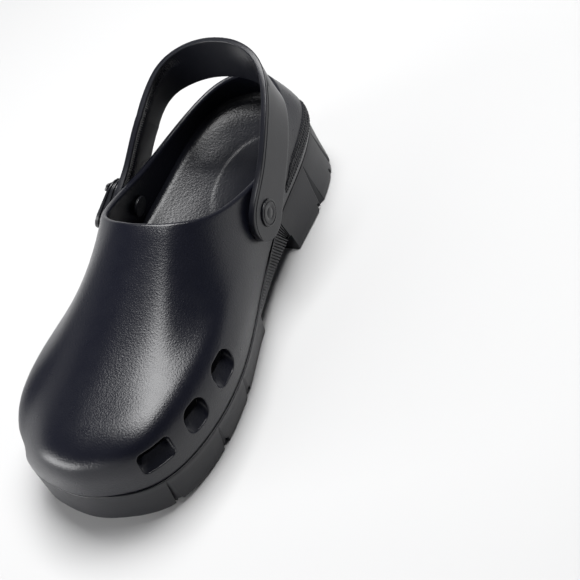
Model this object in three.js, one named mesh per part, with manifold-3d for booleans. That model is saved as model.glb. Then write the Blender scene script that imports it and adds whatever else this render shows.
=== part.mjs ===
// Chef clog for the right foot: a moulded hollow upper on a lugged outsole, with a footbed and a heel strap.
// Millimetres. +Z is up, the toe points to -Y and the inner (medial) side of the foot is +X.
import * as THREE from 'three';
import { mergeVertices } from 'three/addons/utils/BufferGeometryUtils.js';
import Module from 'manifold-3d';

// Driving sizes
const LENGTH = 288; // along the parting line between upper and outsole
const BALL_WIDTH = 115;
const HEEL_SEAM = 34; // height of the parting line at the back of the heel
const RIM_WIDTH = 83; // across the foot opening
const RIM_HEIGHT = 94; // front of the foot opening above the floor
const WALL = 3.8;
const TOE_WALL = 2.4; // extra thickness of the wall low down round the toe
const SWELL = 3; // outward bulge of the upper's wall above the parting line
const CLEARANCE = 0.3; // between pieces that meet

const TOE_SPRING = 8;
const FLAT_SHARE = 0.03; // rises under this share of TOE_SPRING are kept flat on the floor
const FLARE = 6; // how far the heel blocks stand out past the parting line at the floor
const SOLE_CORNER = 1.6;
const SOLE_LIP = 0.9; // small round at the outsole's top edge

const ARCH_START = 135; // from the toe
const ARCH_END = 198;
const ARCH_HEIGHT = 9;
const ARCH_SHANK = 27; // half width of the flat under the arch
const ARCH_EDGE = 3.2; // straight edge left under the parting line
const ARCH_CURVE = 1.5; // power of the rise from the flat to the edge
const SIDE_BEND = 0.45; // share of the flare reached half way down the outsole's side

const RIB_PITCH = 2.4;
const RIB_GROOVE = 1.1;
const RIB_DEPTH = 0.9;
const RIB_RUN = 0.75; // how far a rib runs in under the arch, per unit of its height

const GROOVE_WIDTH = 3.6;
const GROOVE_DEPTH = 5;
const NOTCH_WIDTH = 5.5; // side notches, at the floor
const NOTCH_DEPTH = 3.6;
const BAND_RECESS = 2.6; // the middle tread band lies this far above the floor
const BAND_INNER = 8; // medial edge of the tread band
const BAND_OUTER = 25; // lateral edge of the tread band
const BAND_TOE = 46; // the band's two ends, from the toe
const BAND_HEEL = 240;

const FRAME_LENGTH = 46; // rectangle engraved under the arch, on the medial side
const FRAME_WIDTH = 20;
const FRAME_LINE = 1.4;
const FRAME_DEPTH = 0.8;
const FRAME_MIDDLE = 16; // from the long axis

const FOOTBED = 5; // thickness of the insole
const FOOTBED_RIM = 3; // its raised edge at the heel
const FOOTBED_SLACK = 0.8;
const FOOTBED_DRAFT = 1; // its top edge is this much narrower than its base
const FOOTBED_END = 0.35; // stations left out at its two ends

const VENT_BEVEL = 0.7;
const VENT_AHEAD = 0.25; // stations by which the lateral vents lie nearer the toe than the medial ones
const VENT_ABOVE = 0.02; // share of the wall by which they lie higher

const STRAP_LENGTH = 90; // from a rivet to about the middle of the raised strap's top
const STRAP_WIDTH = 27.5;
const STRAP_THICKNESS = 3.6;
const STRAP_CHAMFER = 1;
const STRAP_PADDLE = 16.3; // radius of the strap's round end
const PIVOT_BACK = 178; // rivet line from the toe
const PIVOT_HEIGHT = 50.3;
const PIVOT_SPAN = 0.3; // share of the wall, up and down, whose slope the strap's end takes

const RIVET_HEAD = 8;
const RIVET_CROWN = 1.6;
const RIVET_SHANK = 3.2;
const DOME_SHARE = 0.72; // radius of a head's raised middle, as a share of the head's
const RIVET_BACK = 6.4;
const RIVET_BACK_THICKNESS = 1.4;

const BUCKLE_LENGTH = 32;
const BUCKLE_WIDTH = 24;
const BUCKLE_THICKNESS = 8.6;
const BUCKLE_WEDGE = 0.45; // the buckle is this share thicker at its lower end and thinner at its upper end
const BUCKLE_LAYERS = 3;
const BUCKLE_STEP = 0.8;
const BUCKLE_CORNER = 9;
const BUCKLE_SHIFT = -2; // of the plate's middle, up the strap from the rivet
const BAR_LENGTH = 24;
const BAR_WIDTH = 5;
const BAR_TURN = 76; // degrees from the strap's length
const BAR_THICKNESS = 2.2;
const BAR_SHIFT = 12.2; // of the bar, up the strap from the plate's middle
const TONGUE_LENGTH = 9; // tapered end below the buckle
const TONGUE_WIDTH = 12;
const TONGUE_THICKNESS = 2.4;
const BUTTON_RADIUS = 7;
const BUTTON_CROWN = 5.4;
const BUTTON_SEAT = 6; // the button's seat above the strap, sunk into the buckle

// Mesh density
const AROUND = 72;
const SKIN_STEPS = 10;
const LINING_STEPS = 5;
const LIP_STEPS = 4;
const ACROSS_STEPS = 4;
const STRAP_STEPS = 34;
const TIP_STEPS = 6;
const ROUND_STEPS = 16;
const CORNER_STEPS = 2;
const TUNNEL_STEPS = 4;
const TUNNEL_ROWS = 10;
const INSOLE_STEPS = 4;
const SEARCH_STEP = 0.1;

// Parting line, one row for each station from the toe tip to the heel.
// along: share of LENGTH. medial, lateral: shares of BALL_WIDTH from the long axis. height: share of HEEL_SEAM.
const SEAM = {
  columns: ['along', 'medial', 'lateral', 'height'],
  rows: [
    [0.000, 0.030, -0.030, 0.82],
    [0.010, 0.168, 0.140, 0.81],
    [0.041, 0.322, 0.318, 0.77],
    [0.103, 0.430, 0.410, 0.69],
    [0.206, 0.485, 0.458, 0.60],
    [0.328, 0.482, 0.474, 0.56],
    [0.449, 0.430, 0.464, 0.60],
    [0.570, 0.372, 0.432, 0.69],
    [0.690, 0.343, 0.392, 0.82],
    [0.810, 0.343, 0.364, 0.92],
    [0.904, 0.314, 0.320, 0.97],
    [0.967, 0.230, 0.218, 1.00],
    [1.000, 0.012, -0.012, 1.00],
  ],
};

// Edge of the foot opening, station by station with the parting line.
// along: share of LENGTH. medial, lateral: shares of half RIM_WIDTH. height: share of RIM_HEIGHT.
const RIM = {
  columns: ['along', 'medial', 'lateral', 'height'],
  rows: [
    [0.440, 0.04, -0.04, 1.000],
    [0.442, 0.19, 0.11, 0.997],
    [0.446, 0.33, 0.26, 0.988],
    [0.453, 0.48, 0.41, 0.972],
    [0.466, 0.63, 0.57, 0.945],
    [0.492, 0.79, 0.74, 0.893],
    [0.540, 0.91, 0.90, 0.815],
    [0.610, 0.97, 1.00, 0.730],
    [0.697, 0.99, 1.03, 0.655],
    [0.795, 0.94, 0.98, 0.630],
    [0.882, 0.76, 0.80, 0.655],
    [0.951, 0.45, 0.48, 0.692],
    [0.980, 0.01, -0.01, 0.705],
  ],
};

// Shape of the wall between parting line and rim, station by station. face: height share of the upright face.
// swell: share of SWELL. shoulderIn, shoulderUp, crestIn, crestUp: shares of the way in and up to the rim.
// The lateral columns hold the same values for the lateral side.
const WALL_SHAPE = {
  columns: [
    'face', 'lateralFace', 'swell', 'lateralSwell', 'shoulderIn', 'lateralShoulderIn',
    'shoulderUp', 'lateralShoulderUp', 'crestIn', 'crestUp',
  ],
  rows: [
    [0.30, 0.30, 0.3, 0.3, 0.06, 0.06, 0.53, 0.53, 0.55, 0.52],
    [0.30, 0.26, 0.3, 0.1, 0.06, 0.08, 0.53, 0.52, 0.55, 0.52],
    [0.32, 0.18, 0.4, -0.2, 0.07, 0.14, 0.53, 0.50, 0.55, 0.53],
    [0.34, 0.23, 0.4, 0.0, 0.10, 0.08, 0.52, 0.52, 0.56, 0.55],
    [0.32, 0.30, 0.4, 0.3, 0.14, 0.13, 0.51, 0.50, 0.61, 0.58],
    [0.30, 0.28, 0.5, 0.4, 0.18, 0.26, 0.51, 0.47, 0.62, 0.64],
    [0.28, 0.27, 0.5, 0.4, 0.22, 0.25, 0.52, 0.51, 0.63, 0.70],
    [0.28, 0.28, 0.4, 0.4, 0.20, 0.21, 0.54, 0.53, 0.61, 0.76],
    [0.30, 0.30, 0.3, 0.3, 0.20, 0.20, 0.56, 0.56, 0.60, 0.80],
    [0.32, 0.32, 0.3, 0.3, 0.20, 0.20, 0.60, 0.60, 0.60, 0.82],
    [0.32, 0.32, 0.4, 0.4, 0.20, 0.20, 0.60, 0.60, 0.60, 0.82],
    [0.32, 0.32, 0.5, 0.5, 0.20, 0.20, 0.60, 0.60, 0.60, 0.82],
    [0.32, 0.32, 0.5, 0.5, 0.20, 0.20, 0.60, 0.60, 0.60, 0.82],
  ],
};

// Underside, station by station. ground: share of TOE_SPRING. flare: share of FLARE, outward.
const GROUND = {
  columns: ['ground', 'flare'],
  rows: [
    [1.00, 0.14],
    [0.93, 0.12],
    [0.60, 0.04],
    [0.22, -0.16],
    [0.00, -0.28],
    [0.00, -0.44],
    [0.00, -0.52],
    [0.00, 0.10],
    [0.00, 0.68],
    [0.00, 0.86],
    [0.05, 0.80],
    [0.45, 0.36],
    [0.85, -0.06],
  ],
};

// Vents on each side of the toe box. station: row of the parting line. rise: share of the wall.
// The other columns are millimetres.
const VENTS = {
  columns: ['station', 'rise', 'length', 'height', 'corner'],
  rows: [
    [2.63, 0.249, 20.0, 13.5, 3.5],
    [3.70, 0.265, 17.5, 16.0, 6.5],
    [4.585, 0.320, 20.5, 16.0, 7.0],
  ],
};

// Extra thickness of the wall round the toe. rise: share of the wall. share: of TOE_WALL.
const THICKENING = {
  columns: ['rise', 'share'],
  rows: [
    [0.00, 0.0],
    [0.08, 0.0],
    [0.20, 0.6],
    [0.30, 1.0],
    [0.40, 0.9],
    [0.55, 0.0],
    [1.00, 0.0],
  ],
};
const THICK_STATIONS = 5.6; // stations from the toe over which the wall keeps that extra thickness
const THIN_STATIONS = 7.6; // stations from the toe beyond which it has none

// Side notches between the blocks. top and floor: shares of LENGTH at the parting line and at the floor.
// side: 1 medial, -1 lateral, 0 both.
const NOTCHES = {
  columns: ['top', 'floor', 'side'],
  rows: [
    [0.066, 0.070, 0],
    [0.204, 0.208, 0],
    [0.318, 0.326, 0],
    [0.826, 0.816, 1],
    [0.918, 0.936, 1],
    [0.826, 0.816, -1],
    [0.892, 0.908, -1],
  ],
};

// Grooves under the sole between blocks, in plan. along: shares of LENGTH. across: shares of half BALL_WIDTH.
const GROOVES = {
  columns: ['fromAlong', 'fromAcross', 'toAlong', 'toAcross'],
  rows: [
    [0.074, -1.00, 0.074, 1.00],
    [0.209, 0.14, 0.209, 1.10],
    [0.209, -1.10, 0.209, -0.44],
    [0.326, 0.14, 0.326, 1.10],
    [0.326, -1.10, 0.326, -0.44],
    [0.772, 0.14, 0.818, 1.10],
    [0.818, -1.10, 0.868, 0.24],
    [0.868, 0.24, 0.938, 1.10],
    [0.902, -1.10, 0.962, 0.10],
  ],
};

// Band from the medial tip over the top to the lateral tip.
// back, up: shares of STRAP_LENGTH from the rivet. across: share of the way from the long axis to the rivet's face.
// lean: share of a quarter turn that the band's width leans toward the toe. width: share of STRAP_WIDTH.
const STRAP = {
  columns: ['back', 'up', 'across', 'lean', 'width'],
  rows: [
    [-0.152, -0.099, 1.00, 0.46, 1.19],
    [0.000, 0.000, 1.00, 0.46, 1.19],
    [0.193, 0.110, 1.00, 0.46, 1.08],
    [0.392, 0.256, 1.00, 0.38, 1.03],
    [0.585, 0.378, 0.93, 0.26, 1.00],
    [0.741, 0.460, 0.73, 0.10, 1.00],
    [0.841, 0.503, 0.38, 0.02, 1.00],
    [0.869, 0.515, 0.00, 0.00, 1.00],
  ],
};

const PRECISION = 1e-3;
const FAIRING_PASSES = 40;
const SMALL_STEP = 0.01;
const QUARTER_TURN = Math.PI / 2;

const wasm = await Module();
wasm.setup();

// Smooth curves through table values

function controlsThrough(values, closed) {
  const count = values.length;
  let controls = values.slice();
  for (let pass = 0; pass < FAIRING_PASSES; pass += 1) {
    const before = controls;
    controls = values.map((value, i) => {
      if (!closed && (i === 0 || i === count - 1)) return value;
      const left = before[(i + count - 1) % count];
      const right = before[(i + 1) % count];
      return before[i] + value - (left + 4 * before[i] + right) / 6;
    });
  }
  return controls;
}

function controlAt(controls, i, closed) {
  const count = controls.length;
  if (closed) return controls[((i % count) + count) % count];
  if (i < 0) return 2 * controls[0] - controls[1];
  if (i >= count) return 2 * controls[count - 1] - controls[count - 2];
  return controls[i];
}

function smoothCurve(values, closed = true) {
  const controls = controlsThrough(values, closed);
  return (t) => {
    const last = closed ? Infinity : values.length - 2;
    const i = Math.min(Math.floor(t), last);
    const u = t - i;
    const weights = [
      (1 - u) ** 3 / 6,
      (3 * u ** 3 - 6 * u ** 2 + 4) / 6,
      (-3 * u ** 3 + 3 * u ** 2 + 3 * u + 1) / 6,
      u ** 3 / 6,
    ];
    return weights.reduce((sum, weight, k) => sum + weight * controlAt(controls, i + k - 1, closed), 0);
  };
}

function column(table, name) {
  const place = table.columns.indexOf(name);
  return table.rows.map((row) => row[place]);
}

// Values of a column round the shoe: up the medial side to the heel and back along the lateral side.
function roundTheShoe(table, medialName, lateralName = medialName, lateralSign = 1) {
  const medial = column(table, medialName);
  const lateral = column(table, lateralName).slice(1, -1).reverse();
  return smoothCurve([...medial, ...lateral.map((value) => lateralSign * value)]);
}

const STATIONS = 2 * (SEAM.rows.length - 1);
const HEEL_STATION = STATIONS / 2;

const seam = {
  along: roundTheShoe(SEAM, 'along'),
  across: roundTheShoe(SEAM, 'medial', 'lateral', -1),
  height: roundTheShoe(SEAM, 'height'),
};
const rim = {
  along: roundTheShoe(RIM, 'along'),
  across: roundTheShoe(RIM, 'medial', 'lateral', -1),
  height: roundTheShoe(RIM, 'height'),
};
const shape = {
  face: roundTheShoe(WALL_SHAPE, 'face', 'lateralFace'),
  swell: roundTheShoe(WALL_SHAPE, 'swell', 'lateralSwell'),
  shoulderIn: roundTheShoe(WALL_SHAPE, 'shoulderIn', 'lateralShoulderIn'),
  shoulderUp: roundTheShoe(WALL_SHAPE, 'shoulderUp', 'lateralShoulderUp'),
  crestIn: roundTheShoe(WALL_SHAPE, 'crestIn'),
  crestUp: roundTheShoe(WALL_SHAPE, 'crestUp'),
};
const under = Object.fromEntries(GROUND.columns.map((name) => [name, roundTheShoe(GROUND, name)]));

function fromToe(distance) {
  return distance - LENGTH / 2;
}

function seamPoint(t) {
  return new THREE.Vector3(
    seam.across(t) * BALL_WIDTH,
    fromToe(seam.along(t) * LENGTH),
    seam.height(t) * HEEL_SEAM,
  );
}

function rimPoint(t) {
  return new THREE.Vector3(
    rim.across(t) * RIM_WIDTH / 2,
    fromToe(rim.along(t) * LENGTH),
    rim.height(t) * RIM_HEIGHT,
  );
}

// Level direction pointing out of the shoe at a station of the parting line.
function outward(t) {
  const ahead = seamPoint(t + SMALL_STEP);
  const behind = seamPoint(t + STATIONS - SMALL_STEP);
  const along = ahead.sub(behind);
  return new THREE.Vector3(along.y, -along.x, 0).normalize();
}

// Station on the medial side at a share of the length; the lateral one is its mirror row.
function stationAt(share, side) {
  let low = 0;
  let high = HEEL_STATION;
  while (high - low > PRECISION) {
    const middle = (low + high) / 2;
    if (seam.along(middle) < share) low = middle;
    else high = middle;
  }
  return side > 0 ? low : STATIONS - low;
}

// Upper

// Six handles along the wall steer a clamped cubic spline with three spans.
const KNOTS = [0, 0, 0, 0, 1 / 3, 2 / 3, 1, 1, 1, 1];
const DEGREE = 3;
const SWELL_HANDLES = [0, 0.7, 1, 0.3, 0, 0];

function handleWeights(v) {
  const at = Math.min(Math.max(v, 0), 1 - PRECISION ** 2);
  let weights = KNOTS.slice(0, -1).map((knot, i) => (at >= knot && at < KNOTS[i + 1] ? 1 : 0));
  for (let degree = 1; degree <= DEGREE; degree += 1) {
    weights = weights.slice(0, -1).map((weight, i) => {
      const rise = KNOTS[i + degree] - KNOTS[i];
      const fall = KNOTS[i + degree + 1] - KNOTS[i + 1];
      const left = rise > 0 ? (at - KNOTS[i]) / rise * weight : 0;
      const right = fall > 0 ? (KNOTS[i + degree + 1] - at) / fall * weights[i + 1] : 0;
      return left + right;
    });
  }
  return weights;
}

function blend(weights, values) {
  return weights.reduce((sum, weight, i) => sum + weight * values[i], 0);
}

// Outer face of the upper at a station, v running from the parting line to the rim.
function skinPoint(t, v) {
  const foot = seamPoint(t);
  const edge = rimPoint(t);
  const weights = handleWeights(v);
  const face = shape.face(t);
  const inward = blend(weights, [0, 0, 0, shape.shoulderIn(t), shape.crestIn(t), 1]);
  const upward = blend(weights, [0, face / 2, face, shape.shoulderUp(t), shape.crestUp(t), 1]);
  const bulge = SWELL * shape.swell(t) * blend(weights, SWELL_HANDLES);
  return new THREE.Vector3(
    foot.x + (edge.x - foot.x) * inward,
    foot.y + (edge.y - foot.y) * inward,
    foot.z + (edge.z - foot.z) * upward,
  ).addScaledVector(outward(t), bulge);
}

function skinNormal(t, v) {
  const low = Math.max(v - SMALL_STEP, 0);
  const high = Math.min(v + SMALL_STEP, 1);
  const along = skinPoint(t + SMALL_STEP, v).sub(skinPoint(t + STATIONS - SMALL_STEP, v));
  const upward = skinPoint(t, high).sub(skinPoint(t, low));
  return along.cross(upward).normalize();
}

// How thick the wall is at a station and share of its rise.
function wallThickness(t, v) {
  const fromTip = Math.min(t, STATIONS - t);
  const fade = THREE.MathUtils.smoothstep(THIN_STATIONS - fromTip, 0, THIN_STATIONS - THICK_STATIONS);
  const rises = column(THICKENING, 'rise');
  const shares = column(THICKENING, 'share');
  const next = Math.max(rises.findIndex((rise) => rise >= v), 1);
  const part = (v - rises[next - 1]) / (rises[next] - rises[next - 1]);
  const share = THREE.MathUtils.lerp(shares[next - 1], shares[next], THREE.MathUtils.smoothstep(part, 0, 1));
  return WALL + TOE_WALL * fade * share;
}

function liningPoint(t, v) {
  const point = skinPoint(t, v).addScaledVector(skinNormal(t, v), -wallThickness(t, v));
  if (v === 0) point.z = seamPoint(t).z;
  return point;
}

// Closed wall: skin up, round lip, lining down, flat foot strip.
function wallLoop(t) {
  const loop = [];
  for (let i = 0; i <= SKIN_STEPS; i += 1) loop.push(skinPoint(t, i / SKIN_STEPS));
  const normal = skinNormal(t, 1);
  const upward = skinPoint(t, 1).sub(skinPoint(t, 1 - SMALL_STEP));
  upward.addScaledVector(normal, -upward.dot(normal)).normalize();
  for (let k = 1; k < LIP_STEPS; k += 1) {
    const turn = k * Math.PI / LIP_STEPS;
    const reach = (Math.cos(turn) - 1) * WALL / 2;
    const lift = Math.sin(turn) * WALL / 2;
    loop.push(skinPoint(t, 1).addScaledVector(normal, reach).addScaledVector(upward, lift));
  }
  for (let i = LINING_STEPS; i >= 0; i -= 1) loop.push(liningPoint(t, i / LINING_STEPS));
  loop.forEach((point) => { point.z += CLEARANCE; });
  return loop;
}

// Solids from loops of points

function addQuad(indices, a, b, c, d) {
  indices.push(a, b, c, a, c, d);
}

function solidGeometry(points, indices) {
  const raw = new THREE.BufferGeometry();
  raw.setAttribute('position', new THREE.Float32BufferAttribute(points.flatMap((p) => [p.x, p.y, p.z]), 3));
  raw.setIndex(indices);
  const merged = mergeVertices(raw, PRECISION);
  const kept = [];
  const index = merged.getIndex().array;
  for (let i = 0; i < index.length; i += 3) {
    const [a, b, c] = [index[i], index[i + 1], index[i + 2]];
    if (a !== b && b !== c && a !== c) kept.push(a, b, c);
  }
  merged.setIndex(kept);
  return merged;
}

// Joins loops of equal length, one after the other. ends: 'joined' runs on from the last loop to the first,
// 'capped' closes both ends with a fan, 'folded' leaves loops that already lie folded flat.
function loft(loops, ends) {
  const size = loops[0].length;
  const indices = [];
  const spans = ends === 'joined' ? loops.length : loops.length - 1;
  for (let i = 0; i < spans; i += 1) {
    const here = i * size;
    const next = ((i + 1) % loops.length) * size;
    for (let j = 0; j < size; j += 1) {
      const k = (j + 1) % size;
      addQuad(indices, here + j, next + j, next + k, here + k);
    }
  }
  const last = (loops.length - 1) * size;
  for (let j = 1; ends === 'capped' && j < size - 1; j += 1) {
    indices.push(0, j, j + 1);
    indices.push(last, last + j + 1, last + j);
  }
  return solidGeometry(loops.flat(), indices);
}

// Solid between a top and a bottom grid of points with the same layout.
function slab(top, bottom) {
  const rows = top.length;
  const size = top[0].length;
  const loops = [];
  for (let i = 0; i < rows; i += 1) loops.push([...top[i], ...bottom[i].slice().reverse()]);
  const indices = [];
  const loopSize = 2 * size;
  for (let i = 0; i < rows - 1; i += 1) {
    for (let j = 0; j < loopSize; j += 1) {
      const k = (j + 1) % loopSize;
      addQuad(indices, i * loopSize + j, (i + 1) * loopSize + j, (i + 1) * loopSize + k, i * loopSize + k);
    }
  }
  const last = (rows - 1) * loopSize;
  for (let j = 0; j < size - 1; j += 1) {
    const mirror = loopSize - 1 - j;
    addQuad(indices, j, j + 1, mirror - 1, mirror);
    addQuad(indices, last + mirror, last + mirror - 1, last + j + 1, last + j);
  }
  return solidGeometry(loops.flat(), indices);
}

function toManifold(geometry) {
  const source = geometry.clone();
  source.deleteAttribute('normal');
  source.deleteAttribute('uv');
  const merged = mergeVertices(source, PRECISION);
  const mesh = new wasm.Mesh({
    numProp: 3,
    vertProperties: new Float32Array(merged.getAttribute('position').array),
    triVerts: new Uint32Array(merged.getIndex().array),
  });
  const solid = new wasm.Manifold(mesh);
  return solid.volume() < 0 ? flipped(merged) : solid;
}

function flipped(geometry) {
  const index = Array.from(geometry.getIndex().array);
  for (let i = 0; i < index.length; i += 3) [index[i + 1], index[i + 2]] = [index[i + 2], index[i + 1]];
  return new wasm.Manifold(new wasm.Mesh({
    numProp: 3,
    vertProperties: new Float32Array(geometry.getAttribute('position').array),
    triVerts: new Uint32Array(index),
  }));
}

function fromManifold(solid) {
  const mesh = solid.getMesh();
  const geometry = new THREE.BufferGeometry();
  geometry.setAttribute('position', new THREE.Float32BufferAttribute(mesh.vertProperties, 3));
  geometry.setIndex(Array.from(mesh.triVerts));
  return geometry;
}

function cutAway(geometry, cutters) {
  const solid = cutters.reduce((left, cutter) => left.subtract(toManifold(cutter)), toManifold(geometry));
  return fromManifold(solid);
}

// Turns geometry built about +Z so that +Z points along a direction and +X along a level one, then moves it.
function aim(geometry, place, direction, level) {
  const zAxis = direction.clone().normalize();
  const xAxis = level.clone().addScaledVector(zAxis, -level.dot(zAxis)).normalize();
  const yAxis = zAxis.clone().cross(xAxis);
  const matrix = new THREE.Matrix4().makeBasis(xAxis, yAxis, zAxis).setPosition(place);
  return geometry.applyMatrix4(matrix);
}

function roundedRectangle(length, width, corner) {
  const outline = new THREE.Shape();
  const x = length / 2;
  const y = width / 2;
  outline.moveTo(-x + corner, -y);
  outline.lineTo(x - corner, -y);
  outline.absarc(x - corner, -y + corner, corner, -QUARTER_TURN, 0);
  outline.lineTo(x, y - corner);
  outline.absarc(x - corner, y - corner, corner, 0, QUARTER_TURN);
  outline.lineTo(-x + corner, y);
  outline.absarc(-x + corner, y - corner, corner, QUARTER_TURN, 2 * QUARTER_TURN);
  outline.lineTo(-x, -y + corner);
  outline.absarc(-x + corner, -y + corner, corner, 2 * QUARTER_TURN, 3 * QUARTER_TURN);
  return outline;
}


// One vent: a straight hole and a bevelled mouth on the outer face.
function ventCutters(t, v, length, height, corner) {
  const place = skinPoint(t, v);
  const normal = skinNormal(t, v);
  const level = skinPoint(t + SMALL_STEP, v).sub(skinPoint(t, v)).normalize();
  const outline = roundedRectangle(length, height, corner);
  const reach = 3 * WALL;
  const hole = new THREE.ExtrudeGeometry(outline, {
    depth: 2 * reach,
    bevelEnabled: false,
    curveSegments: CORNER_STEPS,
  });
  hole.translate(0, 0, -reach);
  const mouth = new THREE.ExtrudeGeometry(outline, {
    depth: reach,
    bevelThickness: VENT_BEVEL,
    bevelSize: VENT_BEVEL,
    bevelSegments: 1,
    curveSegments: CORNER_STEPS,
  });
  return [hole, mouth].map((piece) => aim(piece, place, normal, level));
}

// Hole for a rivet's shank through wall, strap and buckle.
function rivetHole(side) {
  const { place, normal, along } = pivotFrame(side);
  const radius = RIVET_SHANK + CLEARANCE;
  const reach = 2 * (WALL + STRAP_THICKNESS + BUCKLE_THICKNESS);
  const hole = new THREE.CylinderGeometry(radius, radius, 2 * reach, ROUND_STEPS);
  return aim(hole.rotateX(QUARTER_TURN), place, normal, along);
}

function upperGeometry() {
  const loops = [];
  for (let i = 0; i < AROUND; i += 1) loops.push(wallLoop(i * STATIONS / AROUND));
  const cutters = [rivetHole(1), rivetHole(-1)];
  for (const [station, rise, ...size] of VENTS.rows) {
    cutters.push(...ventCutters(station, rise, ...size));
    cutters.push(...ventCutters(STATIONS - station + VENT_AHEAD, rise + VENT_ABOVE, ...size));
  }
  return cutAway(loft(loops, 'joined'), cutters);
}

// Outsole

function groundHeight(t) {
  return Math.max(0, under.ground(t) - FLAT_SHARE) * TOE_SPRING;
}

// Points down one side of the outsole, from its top edge to the floor.
function soleSide(t) {
  const top = seamPoint(t);
  const out = outward(t);
  const flare = FLARE * under.flare(t);
  const floor = groundHeight(t);
  const drop = top.z - floor;
  const steps = [
    [-SOLE_LIP, 0],
    [0, SOLE_LIP],
    [flare * SIDE_BEND, drop / 2],
    [flare, drop - SOLE_CORNER],
    [flare - SOLE_CORNER, drop],
  ];
  return steps.map(([reach, fall]) => top.clone().addScaledVector(out, reach).setZ(top.z - fall));
}

// Section of the outsole at a station and its mirror station: down one side, across, up the other, back across.
function soleSection(t) {
  const medial = soleSide(t);
  const lateral = soleSide(STATIONS - t);
  const across = (from, to) => {
    const points = [];
    for (let j = 1; j < ACROSS_STEPS; j += 1) points.push(from.clone().lerp(to, j / ACROSS_STEPS));
    return points;
  };
  return [
    ...medial,
    ...across(medial.at(-1), lateral.at(-1)),
    ...lateral.slice().reverse(),
    ...across(lateral[0], medial[0]),
  ];
}

// Upper edge of the arch's opening on one side, from clear of the sole inward to the flat: [x, z] pairs.
function archSide(edge, side) {
  const points = [[edge.x + side * FLARE, edge.z - ARCH_EDGE]];
  for (let j = 0; j <= TUNNEL_STEPS; j += 1) {
    const share = 1 - j / TUNNEL_STEPS;
    const x = side * ARCH_SHANK + (edge.x - side * ARCH_SHANK) * share;
    points.push([x, ARCH_HEIGHT + (edge.z - ARCH_EDGE - ARCH_HEIGHT) * share ** ARCH_CURVE]);
  }
  return points;
}

// Space under the arch, cut out of the full sole.
function archTunnel() {
  const top = [];
  const bottom = [];
  for (let i = 0; i <= TUNNEL_ROWS; i += 1) {
    const distance = ARCH_START + (ARCH_END - ARCH_START) * i / TUNNEL_ROWS;
    const [medial, lateral] = [1, -1].map((side) => archSide(seamPoint(stationAt(distance / LENGTH, side)), side));
    const line = [...medial, ...lateral.reverse()].map(([x, z]) => new THREE.Vector3(x, fromToe(distance), z));
    top.push(line);
    bottom.push(line.map((p) => new THREE.Vector3(p.x, p.y, -SOLE_CORNER)));
  }
  return slab(top, bottom);
}

// A bar with a bottom and a top rectangle, given by its two plan end points, half widths and heights.
function taperedBar(from, to, lowHalf, highHalf, low, high) {
  const along = new THREE.Vector2().subVectors(to, from).normalize();
  const side = new THREE.Vector2(-along.y, along.x);
  const corner = (end, offset, z) => new THREE.Vector3(end.x + side.x * offset, end.y + side.y * offset, z);
  const top = [
    [corner(from, highHalf, high), corner(from, -highHalf, high)],
    [corner(to, highHalf, high), corner(to, -highHalf, high)],
  ];
  const bottom = [
    [corner(from, lowHalf, low), corner(from, -lowHalf, low)],
    [corner(to, lowHalf, low), corner(to, -lowHalf, low)],
  ];
  return slab(top, bottom);
}

function planPoint(along, across) {
  return new THREE.Vector2(across * BALL_WIDTH / 2, fromToe(along * LENGTH));
}

function grooveCutters() {
  return GROOVES.rows.map(([fromAlong, fromAcross, toAlong, toAcross]) => taperedBar(
    planPoint(fromAlong, fromAcross),
    planPoint(toAlong, toAcross),
    GROOVE_WIDTH / 2,
    GROOVE_WIDTH / 4,
    -SOLE_CORNER,
    GROOVE_DEPTH,
  ));
}

// Wedge cut into the sole's side, narrow under the parting line and wide at the floor. Its wall toward the toe is
// square to the side, the other one slopes out to the side's face.
function notchCutter(top, floor, side) {
  const t = stationAt(top, side);
  const high = seamPoint(t);
  const out = outward(t);
  const across = new THREE.Vector3(-out.y, out.x, 0);
  const toHeel = Math.sign(across.y || 1);
  const shift = (floor - top) * LENGTH * toHeel;
  const reach = FLARE + SOLE_CORNER;
  const flare = FLARE * under.flare(t);
  const corner = (depth, slide, z) => high.clone()
    .addScaledVector(out, depth).addScaledVector(across, slide).setZ(z);
  const apex = high.z - ARCH_EDGE;
  const narrow = toHeel * CLEARANCE;
  const wide = toHeel * NOTCH_WIDTH / 2;
  const low = -SOLE_CORNER;
  const topGrid = [
    [corner(reach, narrow, apex), corner(reach, -narrow, apex)],
    [corner(0, narrow, apex), corner(-CLEARANCE, -narrow, apex)],
  ];
  const bottomGrid = [
    [corner(reach, shift + wide, low), corner(reach, shift - wide, low)],
    [corner(flare, shift + wide, low), corner(flare - NOTCH_DEPTH, shift - wide, low)],
  ];
  return slab(topGrid, bottomGrid);
}

function notchCutters() {
  return NOTCHES.rows.flatMap(([top, floor, side]) => {
    const sides = side === 0 ? [1, -1] : [side];
    return sides.map((one) => notchCutter(top, floor, one));
  });
}

// Middle band of the heel and forefoot, set back from the floor.
function bandCutters() {
  const middle = (BAND_INNER - BAND_OUTER) / 2;
  const half = (BAND_INNER + BAND_OUTER) / 2;
  const piece = (start, end) => taperedBar(
    new THREE.Vector2(middle, fromToe(start)),
    new THREE.Vector2(middle, fromToe(end)),
    half + BAND_RECESS / 2,
    half,
    -SOLE_CORNER,
    BAND_RECESS,
  );
  return [
    piece(BAND_TOE, ARCH_START + CLEARANCE),
    piece(ARCH_END - CLEARANCE, BAND_HEEL),
  ];
}

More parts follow.
